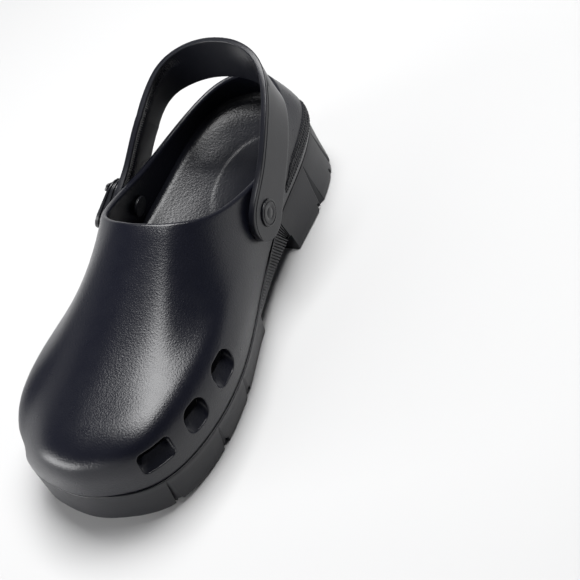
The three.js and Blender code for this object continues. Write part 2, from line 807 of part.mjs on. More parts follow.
// Fine upright ribs on the medial side of the arch, left between grooves that follow the arch's slope.
function ribCutters() {
  const cutters = [];
  for (let distance = ARCH_START + RIB_PITCH; distance < ARCH_END; distance += RIB_PITCH) {
    const top = seamPoint(stationAt(distance / LENGTH, 1));
    const slopeTop = top.z - ARCH_EDGE;
    const outer = top.x + FLARE;
    const face = top.x - RIB_DEPTH;
    const inner = top.x - RIB_RUN * (slopeTop - ARCH_HEIGHT);
    const lip = top.z - 2 * SOLE_LIP;
    const outline = new THREE.Shape();
    outline.moveTo(outer, lip);
    outline.lineTo(face, lip);
    outline.lineTo(face, slopeTop);
    outline.lineTo(inner, ARCH_HEIGHT + RIB_DEPTH);
    outline.lineTo(inner, ARCH_HEIGHT - RIB_DEPTH);
    outline.lineTo(outer, ARCH_HEIGHT - RIB_DEPTH);
    const groove = new THREE.ExtrudeGeometry(outline, { depth: RIB_GROOVE, bevelEnabled: false });
    groove.rotateX(QUARTER_TURN);
    groove.translate(0, fromToe(distance) + RIB_GROOVE / 2, 0);
    cutters.push(groove);
  }
  return cutters;
}

// Plain rectangular line engraved in the underside of the arch.
function frameCutter() {
  const outline = roundedRectangle(FRAME_WIDTH, FRAME_LENGTH, FRAME_LINE);
  const inner = roundedRectangle(FRAME_WIDTH - 2 * FRAME_LINE, FRAME_LENGTH - 2 * FRAME_LINE, FRAME_LINE / 2);
  outline.holes.push(inner);
  const frame = new THREE.ExtrudeGeometry(outline, {
    depth: 2 * FRAME_DEPTH,
    bevelEnabled: false,
    curveSegments: CORNER_STEPS,
  });
  return frame.translate(FRAME_MIDDLE, fromToe((ARCH_START + ARCH_END) / 2), ARCH_HEIGHT - FRAME_DEPTH);
}

function outsoleGeometry() {
  const loops = [];
  const rows = AROUND / 2;
  for (let i = 0; i <= rows; i += 1) loops.push(soleSection(i * HEEL_STATION / rows));
  const cutters = [
    archTunnel(),
    frameCutter(),
    ...bandCutters(),
    ...grooveCutters(),
    ...notchCutters(),
    ...ribCutters(),
  ];
  return cutAway(loft(loops, 'folded'), cutters);
}

// Insole

function insoleEdge(t, inset, lift) {
  const point = seamPoint(t).addScaledVector(outward(t), -WALL - FOOTBED_SLACK - inset);
  point.z += lift + CLEARANCE;
  return point;
}

// Flat under the forefoot, dished under the heel.
function insoleGeometry() {
  const rows = AROUND / 2;
  const top = [];
  const bottom = [];
  for (let i = 0; i <= rows; i += 1) {
    const t = FOOTBED_END + (HEEL_STATION - 2 * FOOTBED_END) * i / rows;
    const heel = Math.max(0, 2 * seam.along(t) - 1);
    const edge = FOOTBED + FOOTBED_RIM * heel;
    const topEnds = [t, STATIONS - t].map((station) => insoleEdge(station, FOOTBED_DRAFT, edge));
    const baseEnds = [t, STATIONS - t].map((station) => insoleEdge(station, 0, 0));
    const line = [];
    const base = [];
    for (let j = 0; j <= INSOLE_STEPS; j += 1) {
      const share = j / INSOLE_STEPS;
      const point = topEnds[0].clone().lerp(topEnds[1], share);
      point.z -= FOOTBED_RIM * heel * Math.sqrt(Math.sin(Math.PI * share));
      line.push(point);
      base.push(baseEnds[0].clone().lerp(baseEnds[1], share));
    }
    top.push(line);
    bottom.push(base);
  }
  return slab(top, bottom);
}

// Heel strap, rivets and buckle

// Place of the strap's inner face at its rivet: flat against the wall, which may lean, just clear of its bulge.
// along: up the strap. wide: across it, toward the toe and up.
function findPivotFrame(side) {
  const t = stationAt(PIVOT_BACK / LENGTH, side);
  let v = 0;
  while (v < 1 && skinPoint(t, v).z < PIVOT_HEIGHT) v += SMALL_STEP;
  const place = skinPoint(t, v);
  const low = skinPoint(t, Math.max(v - PIVOT_SPAN, 0));
  const high = skinPoint(t, Math.min(v + PIVOT_SPAN, 1));
  const slope = (high.x - low.x) / (high.z - low.z);
  const normal = new THREE.Vector3(side, 0, -side * slope).normalize();
  const lean = column(STRAP, 'lean')[1] * QUARTER_TURN;
  const tilt = (y, z) => new THREE.Vector3(slope * z, y, z).normalize();
  let bulge = 0;
  for (let station = t - 1; station <= t + 1; station += SEARCH_STEP) {
    for (let rise = 0; rise <= 1; rise += SEARCH_STEP / 2) {
      const offset = skinPoint(station, rise).sub(place);
      const away = offset.dot(normal);
      if (offset.addScaledVector(normal, -away).length() < STRAP_PADDLE) bulge = Math.max(bulge, away);
    }
  }
  place.addScaledVector(normal, bulge + CLEARANCE);
  return { place, normal, slope, along: tilt(Math.cos(lean), Math.sin(lean)), wide: tilt(-Math.sin(lean), Math.cos(lean)) };
}

const pivotFrames = new Map([1, -1].map((side) => [side, findPivotFrame(side)]));

function pivotFrame(side) {
  return pivotFrames.get(side);
}

const strapColumns = STRAP.columns.map((name) => {
  const medial = column(STRAP, name);
  const mirrored = medial.slice(0, -1).reverse();
  return smoothCurve([...medial, ...mirrored.map((value) => (name === 'across' ? -value : value))], false);
});
const STRAP_ROWS = 2 * STRAP.rows.length - 2;

// Middle of the strap's thickness at a rivet.
function strapEnd(side) {
  const { place, normal } = pivotFrame(side);
  return place.clone().addScaledVector(normal, STRAP_THICKNESS / 2);
}

function strapFrame(u) {
  const [back, up, across, lean, width] = strapColumns.map((curve) => curve(u));
  const { slope } = pivotFrame(across > 0 ? 1 : -1);
  const middle = strapEnd(-1).lerp(strapEnd(1), (1 + across) / 2);
  middle.x = strapEnd(Math.sign(across) || 1).x;
  const rise = up * STRAP_LENGTH;
  const level = middle.x + slope * Math.min(rise, STRAP_WIDTH);
  return {
    place: new THREE.Vector3(Math.abs(across) * level, middle.y + back * STRAP_LENGTH, middle.z + rise),
    lean: lean * QUARTER_TURN,
    slope: slope * Math.abs(across),
    width: width * STRAP_WIDTH,
  };
}

function strapSection(u) {
  const { place, lean, slope, width } = strapFrame(u);
  const ahead = strapFrame(Math.min(u + SMALL_STEP, STRAP_ROWS)).place;
  const behind = strapFrame(Math.max(u - SMALL_STEP, 0)).place;
  const tangent = ahead.sub(behind).normalize();
  const wide = new THREE.Vector3(slope * Math.cos(lean), -Math.sin(lean), Math.cos(lean));
  wide.addScaledVector(tangent, -wide.dot(tangent)).normalize();
  const thick = wide.clone().cross(tangent).normalize();
  const rest = STRAP_PADDLE * Math.max(0, 1 - Math.min(u, STRAP_ROWS - u));
  const round = Math.sqrt(Math.max(0, STRAP_PADDLE ** 2 - rest ** 2));
  const half = Math.max(Math.min(width / 2, round), 2 * STRAP_CHAMFER);
  const depth = STRAP_THICKNESS / 2;
  const edge = half - STRAP_CHAMFER;
  const face = depth - STRAP_CHAMFER;
  const outline = [
    [edge, depth], [-edge, depth], [-half, face], [-half, -face],
    [-edge, -depth], [edge, -depth], [half, -face], [half, face],
  ];
  return outline.map(([w, d]) => place.clone().addScaledVector(wide, w).addScaledVector(thick, d));
}

function strapGeometry() {
  const loops = [];
  const marks = [];
  for (let i = 0; i < TIP_STEPS; i += 1) marks.push(1 - Math.cos(QUARTER_TURN * i / TIP_STEPS));
  const middle = [];
  for (let i = 0; i <= STRAP_STEPS; i += 1) middle.push(1 + (STRAP_ROWS - 2) * i / STRAP_STEPS);
  const all = [...marks, ...middle, ...marks.map((mark) => STRAP_ROWS - mark).reverse()];
  for (const u of all) loops.push(strapSection(u));
  return cutAway(loft(loops, 'capped'), [rivetHole(1), rivetHole(-1)]);
}

// A turned piece given by (distance along the axis, radius) pairs, standing on the strap's inner face.
function turned(profile, side) {
  const { place, normal, along } = pivotFrame(side);
  const points = profile.map(([height, radius]) => new THREE.Vector2(radius, height));
  return aim(new THREE.LatheGeometry(points, ROUND_STEPS).rotateX(QUARTER_TURN), place, normal, along);
}

// How far the upper's inner face lies behind the strap's inner face, at its deepest near the rivet.
function liningDepth(side) {
  const { place, normal } = pivotFrame(side);
  const t = stationAt(PIVOT_BACK / LENGTH, side);
  let depth = 0;
  for (let station = t - 1; station <= t + 1; station += SEARCH_STEP) {
    for (let rise = 0; rise <= 1; rise += SEARCH_STEP / 2) {
      const offset = liningPoint(station, rise).sub(place);
      const away = offset.dot(normal);
      if (offset.addScaledVector(normal, -away).length() < RIVET_BACK) depth = Math.max(depth, -away);
    }
  }
  return depth;
}

// Rivet: inner flange, shank through upper and strap, stepped round head. stack: thickness under the head.
function rivetGeometry(side, stack, head, crown) {
  const inner = -liningDepth(side) - CLEARANCE;
  const seat = stack + CLEARANCE;
  const dome = head * DOME_SHARE;
  const profile = [
    [inner - RIVET_BACK_THICKNESS, 0],
    [inner - RIVET_BACK_THICKNESS, RIVET_BACK],
    [inner, RIVET_BACK],
    [inner, RIVET_SHANK],
    [seat, RIVET_SHANK],
    [seat, head],
    [seat + crown / 2, head - CLEARANCE],
    [seat + crown / 2, dome],
    [seat + crown - CLEARANCE, dome - 2 * CLEARANCE],
    [seat + crown, dome / 2],
    [seat + crown, 0],
  ];
  return turned(profile, side);
}

// Lateral buckle: stacked rounded plates on the strap's end, with a bar across.

// Turns a flat piece built about +Z onto the lateral strap end, shifted up the strap and lifted off its inner face.
function onBuckle(geometry, shift, lift) {
  const { place, normal, along } = pivotFrame(-1);
  const base = place.clone().addScaledVector(along, shift).addScaledVector(normal, lift);
  return aim(geometry, base, normal, along);
}

// Makes a piece built flat on the strap thicker toward the strap's end. middle: the plate's middle along the piece's x.
function wedged(geometry, middle) {
  const position = geometry.getAttribute('position');
  for (let i = 0; i < position.count; i += 1) {
    const down = 2 * (middle - position.getX(i)) / BUCKLE_LENGTH;
    position.setZ(i, position.getZ(i) * (1 + BUCKLE_WEDGE * down));
  }
  return geometry;
}

function flatPiece(outline, depth) {
  return new THREE.ExtrudeGeometry(outline, { depth, bevelEnabled: false, curveSegments: CORNER_STEPS });
}

function tongueGeometry() {
  const start = 2 * BUCKLE_STEP - BUCKLE_LENGTH / 2;
  const end = -BUCKLE_LENGTH / 2 - TONGUE_LENGTH;
  const half = TONGUE_WIDTH / 2;
  const tip = TONGUE_WIDTH / 6;
  const outline = new THREE.Shape();
  outline.moveTo(start, -half);
  outline.lineTo(start, half);
  outline.lineTo(end + tip, tip);
  outline.quadraticCurveTo(end - tip, 0, end + tip, -tip);
  return flatPiece(outline, TONGUE_THICKNESS).translate(0, 0, (BUCKLE_THICKNESS - TONGUE_THICKNESS) / 2);
}

// Plates with stepped edges, joined into one piece with the tongue, with a round seat for the button.
function buckleGeometry() {
  const count = 2 * BUCKLE_LAYERS - 1;
  const layer = BUCKLE_THICKNESS / count;
  let solid = toManifold(wedged(tongueGeometry(), 0));
  for (let i = 0; i < count; i += 1) {
    const inset = i % 2 === 0 ? 0 : BUCKLE_STEP;
    const outline = roundedRectangle(BUCKLE_LENGTH - 2 * inset, BUCKLE_WIDTH - 2 * inset, BUCKLE_CORNER - inset);
    const depth = i < count - 1 ? layer + BUCKLE_STEP / 4 : layer;
    solid = solid.add(toManifold(wedged(flatPiece(outline, depth).translate(0, 0, i * layer), 0)));
  }
  const stack = onBuckle(fromManifold(solid), BUCKLE_SHIFT, STRAP_THICKNESS + CLEARANCE);
  const radius = BUTTON_RADIUS + CLEARANCE;
  const well = new THREE.CylinderGeometry(radius, radius, 2 * BUCKLE_THICKNESS, ROUND_STEPS);
  well.rotateX(QUARTER_TURN).translate(0, 0, BUTTON_SEAT + BUCKLE_THICKNESS);
  return cutAway(stack, [rivetHole(-1), onBuckle(well, 0, STRAP_THICKNESS)]);
}

// Bar lying across the buckle above the button.
function barGeometry() {
  const bar = flatPiece(roundedRectangle(BAR_LENGTH, BAR_WIDTH, BAR_WIDTH / 3), BAR_THICKNESS);
  bar.rotateZ(THREE.MathUtils.degToRad(BAR_TURN));
  bar.translate(BAR_SHIFT, 0, BUCKLE_THICKNESS + CLEARANCE);
  return onBuckle(wedged(bar, 0), BUCKLE_SHIFT, STRAP_THICKNESS + CLEARANCE);
}

// Materials and scene

const rubber = (color, roughness) => new THREE.MeshStandardMaterial({ color, roughness, metalness: 0 });
const upperMaterial = rubber(0x17181c, 0.42);
const outsoleMaterial = rubber(0x1b1c1e, 0.5);
const insoleMaterial = rubber(0x15161a, 0.55);
const strapMaterial = rubber(0x17181c, 0.45);
const trimMaterial = rubber(0x141517, 0.35);

const clog = new THREE.Group();

function addPiece(name, geometry, material) {
  const mesh = new THREE.Mesh(geometry, material);
  mesh.name = name;
  clog.add(mesh);
}

addPiece('upper', upperGeometry(), upperMaterial);
addPiece('outsole', outsoleGeometry(), outsoleMaterial);
addPiece('insole', insoleGeometry(), insoleMaterial);
addPiece('heel_strap', strapGeometry(), strapMaterial);
addPiece('medial_rivet', rivetGeometry(1, STRAP_THICKNESS, RIVET_HEAD, RIVET_CROWN), trimMaterial);
addPiece(
  'lateral_button',
  rivetGeometry(-1, STRAP_THICKNESS + BUTTON_SEAT, BUTTON_RADIUS, BUTTON_CROWN),
  trimMaterial,
);
addPiece('buckle_plate', buckleGeometry(), trimMaterial);
addPiece('buckle_bar', barGeometry(), trimMaterial);

// Puts the origin under the middle of the clog, at floor level.
const box = new THREE.Box3().setFromObject(clog);
const middle = box.getCenter(new THREE.Vector3());
for (const mesh of clog.children) mesh.geometry.translate(-middle.x, -middle.y, -box.min.z);

export default clog;
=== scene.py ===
# Chef clog for the right foot: fine surfaces, finishes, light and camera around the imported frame.
# Shapes are worked out in millimetres and scaled to metres when a mesh is made.
import math

import bmesh
import bpy
import numpy as np
from mathutils import Matrix, Vector


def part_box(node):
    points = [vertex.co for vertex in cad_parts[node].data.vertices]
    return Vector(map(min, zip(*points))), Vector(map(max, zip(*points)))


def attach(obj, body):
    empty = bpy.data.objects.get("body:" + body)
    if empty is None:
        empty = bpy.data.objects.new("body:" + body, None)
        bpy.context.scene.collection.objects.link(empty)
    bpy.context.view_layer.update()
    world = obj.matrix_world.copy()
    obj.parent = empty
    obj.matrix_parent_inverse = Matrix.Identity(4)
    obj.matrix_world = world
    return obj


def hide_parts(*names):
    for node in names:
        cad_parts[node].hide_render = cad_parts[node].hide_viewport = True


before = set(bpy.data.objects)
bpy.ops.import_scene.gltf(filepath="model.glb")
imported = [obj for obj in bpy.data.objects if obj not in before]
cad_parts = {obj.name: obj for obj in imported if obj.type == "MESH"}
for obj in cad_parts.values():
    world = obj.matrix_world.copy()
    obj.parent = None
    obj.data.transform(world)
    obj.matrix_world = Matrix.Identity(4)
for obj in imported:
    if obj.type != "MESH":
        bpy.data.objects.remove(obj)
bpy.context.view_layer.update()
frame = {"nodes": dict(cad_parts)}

MM = 0.001

# Driving sizes of the clog
LENGTH = 288.0
BALL_WIDTH = 115.0
HEEL_SEAM = 34.0
RIM_WIDTH = 83.0
RIM_HEIGHT = 94.0
WALL = 3.8
TOE_WALL = 2.4
THICK_STATIONS = 5.6
THIN_STATIONS = 7.6
SWELL = 3.0
CLEARANCE = 0.3
TOE_SPRING = 8.0
FLAT_SHARE = 0.03
FLARE = 6.0
SOLE_CORNER = 1.6
SOLE_LIP = 0.5
LIP_PROUD = 0.7
FOOT_ROUND = 0.25
SIDE_BEND = 0.45
ARCH_START = 135.0
ARCH_END = 198.0
ARCH_HEIGHT = 9.0
ARCH_SHANK = 27.0
ARCH_EDGE = 3.2
ARCH_CURVE = 1.5
ARCH_SIDE = 10.5
ARCH_SIDE_SLOPE = 0.14
RIB_PITCH = 2.0
RIB_GROOVE = 0.9
RIB_SLANT = 0.6
RIB_DEPTH = 0.9
RIB_RUN = 0.75
GROOVE_WIDTH = 3.6
GROOVE_DEPTH = 5.0
NOTCH_WIDTH = 7.0
NOTCH_TOP = 1.4
NOTCH_DEPTH = 3.6
BAND_RECESS = 2.6
BAND_INNER = 8.0
BAND_OUTER = 25.0
BAND_TOE = 46.0
BAND_HEEL = 240.0
FRAME_LENGTH = 46.0
FRAME_WIDTH = 20.0
FRAME_LINE = 1.4
FRAME_DEPTH = 0.8
FRAME_MIDDLE = 16.0
FOOTBED = 5.0
FOOTBED_RIM = 3.0
FOOTBED_SLACK = 0.8
FOOTBED_FILLET = 2.5
FOOTBED_DISH = 5.5
VENT_ROUND = 0.7
VENT_INNER_ROUND = 0.8
VENT_SILL = 8.0
VENT_AHEAD = 0.25
VENT_ABOVE = 0.02
STRAP_LENGTH = 90.0
STRAP_WIDTH = 27.5
STRAP_THICKNESS = 3.6
STRAP_PADDLE = 16.3
STRAP_ROUND = 0.7
KNURL_PITCH = 1.3
KNURL_DEPTH = 0.4
PIVOT_BACK = 178.0
PIVOT_HEIGHT = 50.3
PIVOT_SPAN = 0.3
RIVET_HEAD = 8.0
RIVET_CROWN = 1.6
RIVET_FLAT = 0.6
RIVET_BACK = 6.4
RIVET_BACK_THICKNESS = 1.4
RIVET_SHANK = 3.2
BUCKLE_LENGTH = 32.0
BUCKLE_WIDTH = 24.0
BUCKLE_THICKNESS = 8.6
BUCKLE_WEDGE = 0.45
BUCKLE_LAYERS = 3
BUCKLE_STEP = 0.8
BUCKLE_CORNER = 9.0
BUCKLE_SHIFT = -2.0
BAR_LENGTH = 24.0
BAR_WIDTH = 5.0
BAR_TURN = 76.0
BAR_THICKNESS = 2.2
BAR_SHIFT = 12.2
TONGUE_LENGTH = 9.0
TONGUE_WIDTH = 12.0
TONGUE_THICKNESS = 2.4
BUTTON_RADIUS = 7.0
BUTTON_CROWN = 5.4
BUTTON_SEAT = 6.0
EDGE_ROUND = 0.35

# Mesh density
AROUND = 420
SKIN_ROWS = 84
LIP_ROWS = 10
SOLE_ROWS = 180
SOLE_ACROSS = 30
FOOTBED_AROUND = 300
FOOTBED_ROWS = 44
STRAP_ROWS_FINE = 900
ROUND_STEPS = 96

# Parting line: share of LENGTH, shares of BALL_WIDTH, share of HEEL_SEAM
SEAM = {
    "columns": ("along", "medial", "lateral", "height"),
    "rows": (
        (0.000, 0.030, -0.030, 0.82),
        (0.010, 0.168, 0.140, 0.81),
        (0.041, 0.322, 0.318, 0.77),
        (0.103, 0.430, 0.410, 0.69),
        (0.206, 0.485, 0.458, 0.60),
        (0.328, 0.482, 0.474, 0.56),
        (0.449, 0.430, 0.464, 0.60),
        (0.570, 0.372, 0.432, 0.69),
        (0.690, 0.343, 0.392, 0.82),
        (0.810, 0.343, 0.364, 0.92),
        (0.904, 0.314, 0.320, 0.97),
        (0.967, 0.230, 0.218, 1.00),
        (1.000, 0.012, -0.012, 1.00),
    ),
}

# Collar: share of LENGTH, shares of half RIM_WIDTH, share of RIM_HEIGHT
RIM = {
    "columns": ("along", "medial", "lateral", "height"),
    "rows": (
        (0.440, 0.04, -0.04, 1.000),
        (0.442, 0.19, 0.11, 0.997),
        (0.446, 0.33, 0.26, 0.988),
        (0.453, 0.48, 0.41, 0.972),
        (0.466, 0.63, 0.57, 0.945),
        (0.492, 0.79, 0.74, 0.893),
        (0.540, 0.91, 0.90, 0.815),
        (0.610, 0.97, 1.00, 0.730),
        (0.697, 0.99, 1.03, 0.655),
        (0.795, 0.94, 0.98, 0.630),
        (0.882, 0.76, 0.80, 0.655),
        (0.951, 0.45, 0.48, 0.692),
        (0.980, 0.01, -0.01, 0.705),
    ),
}

# Wall between parting line and collar, each value for the medial and then the lateral side
WALL_SHAPE = {
    "columns": (
        "face", "lateral_face", "swell", "lateral_swell", "shoulder_in", "lateral_shoulder_in",
        "shoulder_up", "lateral_shoulder_up", "crest_in", "crest_up",
    ),
    "rows": (
        (0.30, 0.30, 0.3, 0.3, 0.06, 0.06, 0.53, 0.53, 0.55, 0.52),
        (0.30, 0.26, 0.3, 0.1, 0.06, 0.08, 0.53, 0.52, 0.55, 0.52),
        (0.32, 0.18, 0.4, -0.2, 0.07, 0.14, 0.53, 0.50, 0.55, 0.53),
        (0.34, 0.23, 0.4, 0.0, 0.10, 0.08, 0.52, 0.52, 0.56, 0.55),
        (0.32, 0.30, 0.4, 0.3, 0.14, 0.13, 0.51, 0.50, 0.61, 0.58),
        (0.30, 0.28, 0.5, 0.4, 0.18, 0.26, 0.51, 0.47, 0.62, 0.64),
        (0.28, 0.27, 0.5, 0.4, 0.22, 0.25, 0.52, 0.51, 0.63, 0.70),
        (0.28, 0.28, 0.4, 0.4, 0.20, 0.21, 0.54, 0.53, 0.61, 0.76),
        (0.30, 0.30, 0.3, 0.3, 0.20, 0.20, 0.56, 0.56, 0.60, 0.80),
        (0.32, 0.32, 0.3, 0.3, 0.20, 0.20, 0.60, 0.60, 0.60, 0.82),
        (0.32, 0.32, 0.4, 0.4, 0.20, 0.20, 0.60, 0.60, 0.60, 0.82),
        (0.32, 0.32, 0.5, 0.5, 0.20, 0.20, 0.60, 0.60, 0.60, 0.82),
        (0.32, 0.32, 0.5, 0.5, 0.20, 0.20, 0.60, 0.60, 0.60, 0.82),
    ),
}

# Underside: share of TOE_SPRING, share of FLARE
GROUND = {
    "columns": ("ground", "flare"),
    "rows": (
        (1.00, 0.14),
        (0.93, 0.12),
        (0.60, 0.04),
        (0.22, -0.16),
        (0.00, -0.28),
        (0.00, -0.44),
        (0.00, -0.52),
        (0.00, 0.10),
        (0.00, 0.68),
        (0.00, 0.86),
        (0.05, 0.80),
        (0.45, 0.36),
        (0.85, -0.06),
    ),
}

# Vents: station, share of the wall, then length, height and corner in millimetres
VENTS = ((2.63, 0.249, 20.0, 13.5, 3.5), (3.70, 0.265, 17.5, 16.0, 6.5), (4.585, 0.320, 20.5, 16.0, 7.0))

# Extra thickness of the wall round the toe: share of the wall's rise, share of TOE_WALL
THICKENING = ((0.0, 0.0), (0.08, 0.0), (0.2, 0.6), (0.3, 1.0), (0.4, 0.9), (0.55, 0.0), (1.0, 0.0))

# Side notches: share of LENGTH at the parting line and at the floor, side (0 is both)
NOTCHES = (
    (0.066, 0.070, 0),
    (0.200, 0.203, 0),
    (0.315, 0.321, 0),
    (0.826, 0.816, 1),
    (0.918, 0.936, 1),
    (0.826, 0.816, -1),
    (0.892, 0.908, -1),
)

# Grooves in plan: share of LENGTH and share of half BALL_WIDTH at both ends
GROOVES = (
    (0.074, -1.00, 0.074, 1.00),
    (0.209, 0.14, 0.209, 1.10),
    (0.209, -1.10, 0.209, -0.44),
    (0.326, 0.14, 0.326, 1.10),
    (0.326, -1.10, 0.326, -0.44),
    (0.772, 0.14, 0.818, 1.10),
    (0.818, -1.10, 0.868, 0.24),
    (0.868, 0.24, 0.938, 1.10),
    (0.902, -1.10, 0.962, 0.10),
)

# Strap: shares of STRAP_LENGTH back and up, share of the way out, share of a quarter turn,
# share of STRAP_WIDTH
STRAP = {
    "columns": ("back", "up", "across", "lean", "width"),
    "rows": (
        (-0.152, -0.099, 1.00, 0.46, 1.19),
        (0.000, 0.000, 1.00, 0.46, 1.19),
        (0.193, 0.110, 1.00, 0.46, 1.08),
        (0.392, 0.256, 1.00, 0.38, 1.03),
        (0.585, 0.378, 0.93, 0.26, 1.00),
        (0.741, 0.460, 0.73, 0.10, 1.00),
        (0.841, 0.503, 0.38, 0.02, 1.00),
        (0.869, 0.515, 0.00, 0.00, 1.00),
    ),
}

SMALL_STEP = 0.01
QUARTER_TURN = math.pi / 2


# Smooth curves through table values

class Curve:
    """Cubic spline through values at whole numbers, closed or with its ends held."""

    def __init__(self, values, closed=True):
        values = np.asarray(values, float)
        self.closed = closed
        self.count = len(values)
        weights = np.zeros((self.count, self.count))
        for i in range(self.count):
            if not closed and i in (0, self.count - 1):
                weights[i, i] = 1
                continue
            weights[i, i] = 4 / 6
            weights[i, (i - 1) % self.count] += 1 / 6
            weights[i, (i + 1) % self.count] += 1 / 6
        self.controls = np.linalg.solve(weights, values)

    def control(self, i):
        if self.closed:
            return self.controls[i % self.count]
        c = self.controls
        padded = np.concatenate([[2 * c[0] - c[1]], c, [2 * c[-1] - c[-2]]])
        return padded[i + 1]

    def __call__(self, t):
        t = np.asarray(t, float)
        i = np.floor(t).astype(int)
        if not self.closed:
            i = np.clip(i, 0, self.count - 2)
        u = t - i
        weights = (
            (1 - u) ** 3 / 6,
            (3 * u ** 3 - 6 * u ** 2 + 4) / 6,
            (-3 * u ** 3 + 3 * u ** 2 + 3 * u + 1) / 6,
            u ** 3 / 6,
        )
        return sum(weight * self.control(i + k - 1) for k, weight in enumerate(weights))


def column(table, name):
    place = table["columns"].index(name)
    return [row[place] for row in table["rows"]]


def round_the_shoe(table, medial, lateral=None, sign=1):
    """Medial side up to the heel, then back along the lateral side."""
    back = column(table, lateral or medial)[1:-1][::-1]
    return Curve(column(table, medial) + [sign * value for value in back])


STATIONS = 2 * (len(SEAM["rows"]) - 1)
HEEL_STATION = STATIONS // 2
seam_along = round_the_shoe(SEAM, "along")
seam_across = round_the_shoe(SEAM, "medial", "lateral", -1)
seam_height = round_the_shoe(SEAM, "height")
rim_along = round_the_shoe(RIM, "along")
rim_across = round_the_shoe(RIM, "medial", "lateral", -1)
rim_height = round_the_shoe(RIM, "height")
face = round_the_shoe(WALL_SHAPE, "face", "lateral_face")
swell = round_the_shoe(WALL_SHAPE, "swell", "lateral_swell")
shoulder_in = round_the_shoe(WALL_SHAPE, "shoulder_in", "lateral_shoulder_in")
shoulder_up = round_the_shoe(WALL_SHAPE, "shoulder_up", "lateral_shoulder_up")
crest_in = round_the_shoe(WALL_SHAPE, "crest_in")
crest_up = round_the_shoe(WALL_SHAPE, "crest_up")
ground = round_the_shoe(GROUND, "ground")
flare = round_the_shoe(GROUND, "flare")


def unit(vectors):
    return vectors / np.linalg.norm(vectors, axis=-1, keepdims=True)


def dot(a, b):
    return (a * b).sum(-1)


def from_toe(distance):
    return distance - LENGTH / 2


def seam_point(t):
    return np.stack(
        [seam_across(t) * BALL_WIDTH, from_toe(seam_along(t) * LENGTH), seam_height(t) * HEEL_SEAM], -1
    )


def rim_point(t):
    return np.stack(
        [rim_across(t) * RIM_WIDTH / 2, from_toe(rim_along(t) * LENGTH), rim_height(t) * RIM_HEIGHT], -1
    )


def outward(t):
    """Level direction pointing out of the shoe at a station."""
    along = seam_point(t + SMALL_STEP) - seam_point(t - SMALL_STEP)
    return unit(np.stack([along[..., 1], -along[..., 0], 0 * along[..., 0]], -1))


def station_at(share, side):
    """Station on one side at a share of the length."""
    low, high = 0.0, float(HEEL_STATION)
    while high - low > 1e-4:
        middle = (low + high) / 2
        if seam_along(middle) < share:
            low = middle
        else:
            high = middle
    return low if side > 0 else STATIONS - low


# Upper

KNOTS = (0, 0, 0, 0, 1 / 3, 2 / 3, 1, 1, 1, 1)
DEGREE = 3
SWELL_HANDLES = (0, 0.7, 1, 0.3, 0, 0)


def handle_weights(v):
    """Weights of the six handles of a clamped cubic spline along the wall."""
    at = np.clip(v, 0, 1 - 1e-6)
    weights = [((at >= a) & (at < b)).astype(float) for a, b in zip(KNOTS[:-1], KNOTS[1:])]
    for degree in range(1, DEGREE + 1):
        following = []
        for i in range(len(weights) - 1):
            rise = KNOTS[i + degree] - KNOTS[i]
            fall = KNOTS[i + degree + 1] - KNOTS[i + 1]
            left = (at - KNOTS[i]) / rise * weights[i] if rise > 0 else 0
            right = (KNOTS[i + degree + 1] - at) / fall * weights[i + 1] if fall > 0 else 0
            following.append(left + right)
        weights = following
    return weights


def skin(t, v):
    """Outer face of the upper, v running from the parting line to the collar."""
    t, v = np.broadcast_arrays(np.asarray(t, float), np.asarray(v, float))
    foot = seam_point(t)
    edge = rim_point(t)
    weights = handle_weights(v)
    upright = face(t)
    inward = weights[3] * shoulder_in(t) + weights[4] * crest_in(t) + weights[5]
    upward = weights[1] * upright / 2 + weights[2] * upright
    upward = upward + weights[3] * shoulder_up(t) + weights[4] * crest_up(t) + weights[5]
    bulge = SWELL * swell(t) * sum(w * handle for w, handle in zip(weights, SWELL_HANDLES))
    shares = np.stack([inward, inward, upward], -1)
    return foot + (edge - foot) * shares + outward(t) * bulge[..., None]


def skin_normal(t, v):
    v = np.asarray(v, float)
    along = skin(t + SMALL_STEP, v) - skin(t - SMALL_STEP, v)
    upward = skin(t, np.minimum(v + SMALL_STEP, 1)) - skin(t, np.maximum(v - SMALL_STEP, 0))
    return unit(np.cross(along, upward))


def smooth(share):
    share = np.clip(share, 0, 1)
    return share * share * (3 - 2 * share)


def wall_thickness(t, v):
    """The wall is thicker low down round the toe."""
    from_tip = np.minimum(t % STATIONS, -t % STATIONS)
    fade = smooth((THIN_STATIONS - from_tip) / (THIN_STATIONS - THICK_STATIONS))
    rises, shares = np.array(THICKENING).T
    after = np.clip(np.searchsorted(rises, v), 1, len(rises) - 1)
    part = smooth((v - rises[after - 1]) / (rises[after] - rises[after - 1]))
    return WALL + TOE_WALL * fade * (shares[after - 1] + (shares[after] - shares[after - 1]) * part)


def lining(t, v):
    t, v = np.broadcast_arrays(np.asarray(t, float), np.asarray(v, float))
    point = skin(t, v) - wall_thickness(t, v)[..., None] * skin_normal(t, v)
    at_foot = np.asarray(v, float) <= 0
    point[..., 2] = np.where(at_foot, seam_point(t)[..., 2], point[..., 2])
    return point


def centre_shift():
    """Level shift from the section tables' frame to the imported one."""
    t, v = np.meshgrid(np.linspace(0, STATIONS, AROUND), np.linspace(0, 1, SKIN_ROWS), indexing="ij")
    points = skin(t, v).reshape(-1, 3)
    low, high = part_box("upper")
    middle = np.array((low + high) / 2) / MM - (points.min(0) + points.max(0)) / 2
    return np.array([middle[0], middle[1], 0])


SHIFT = centre_shift()


# Meshes

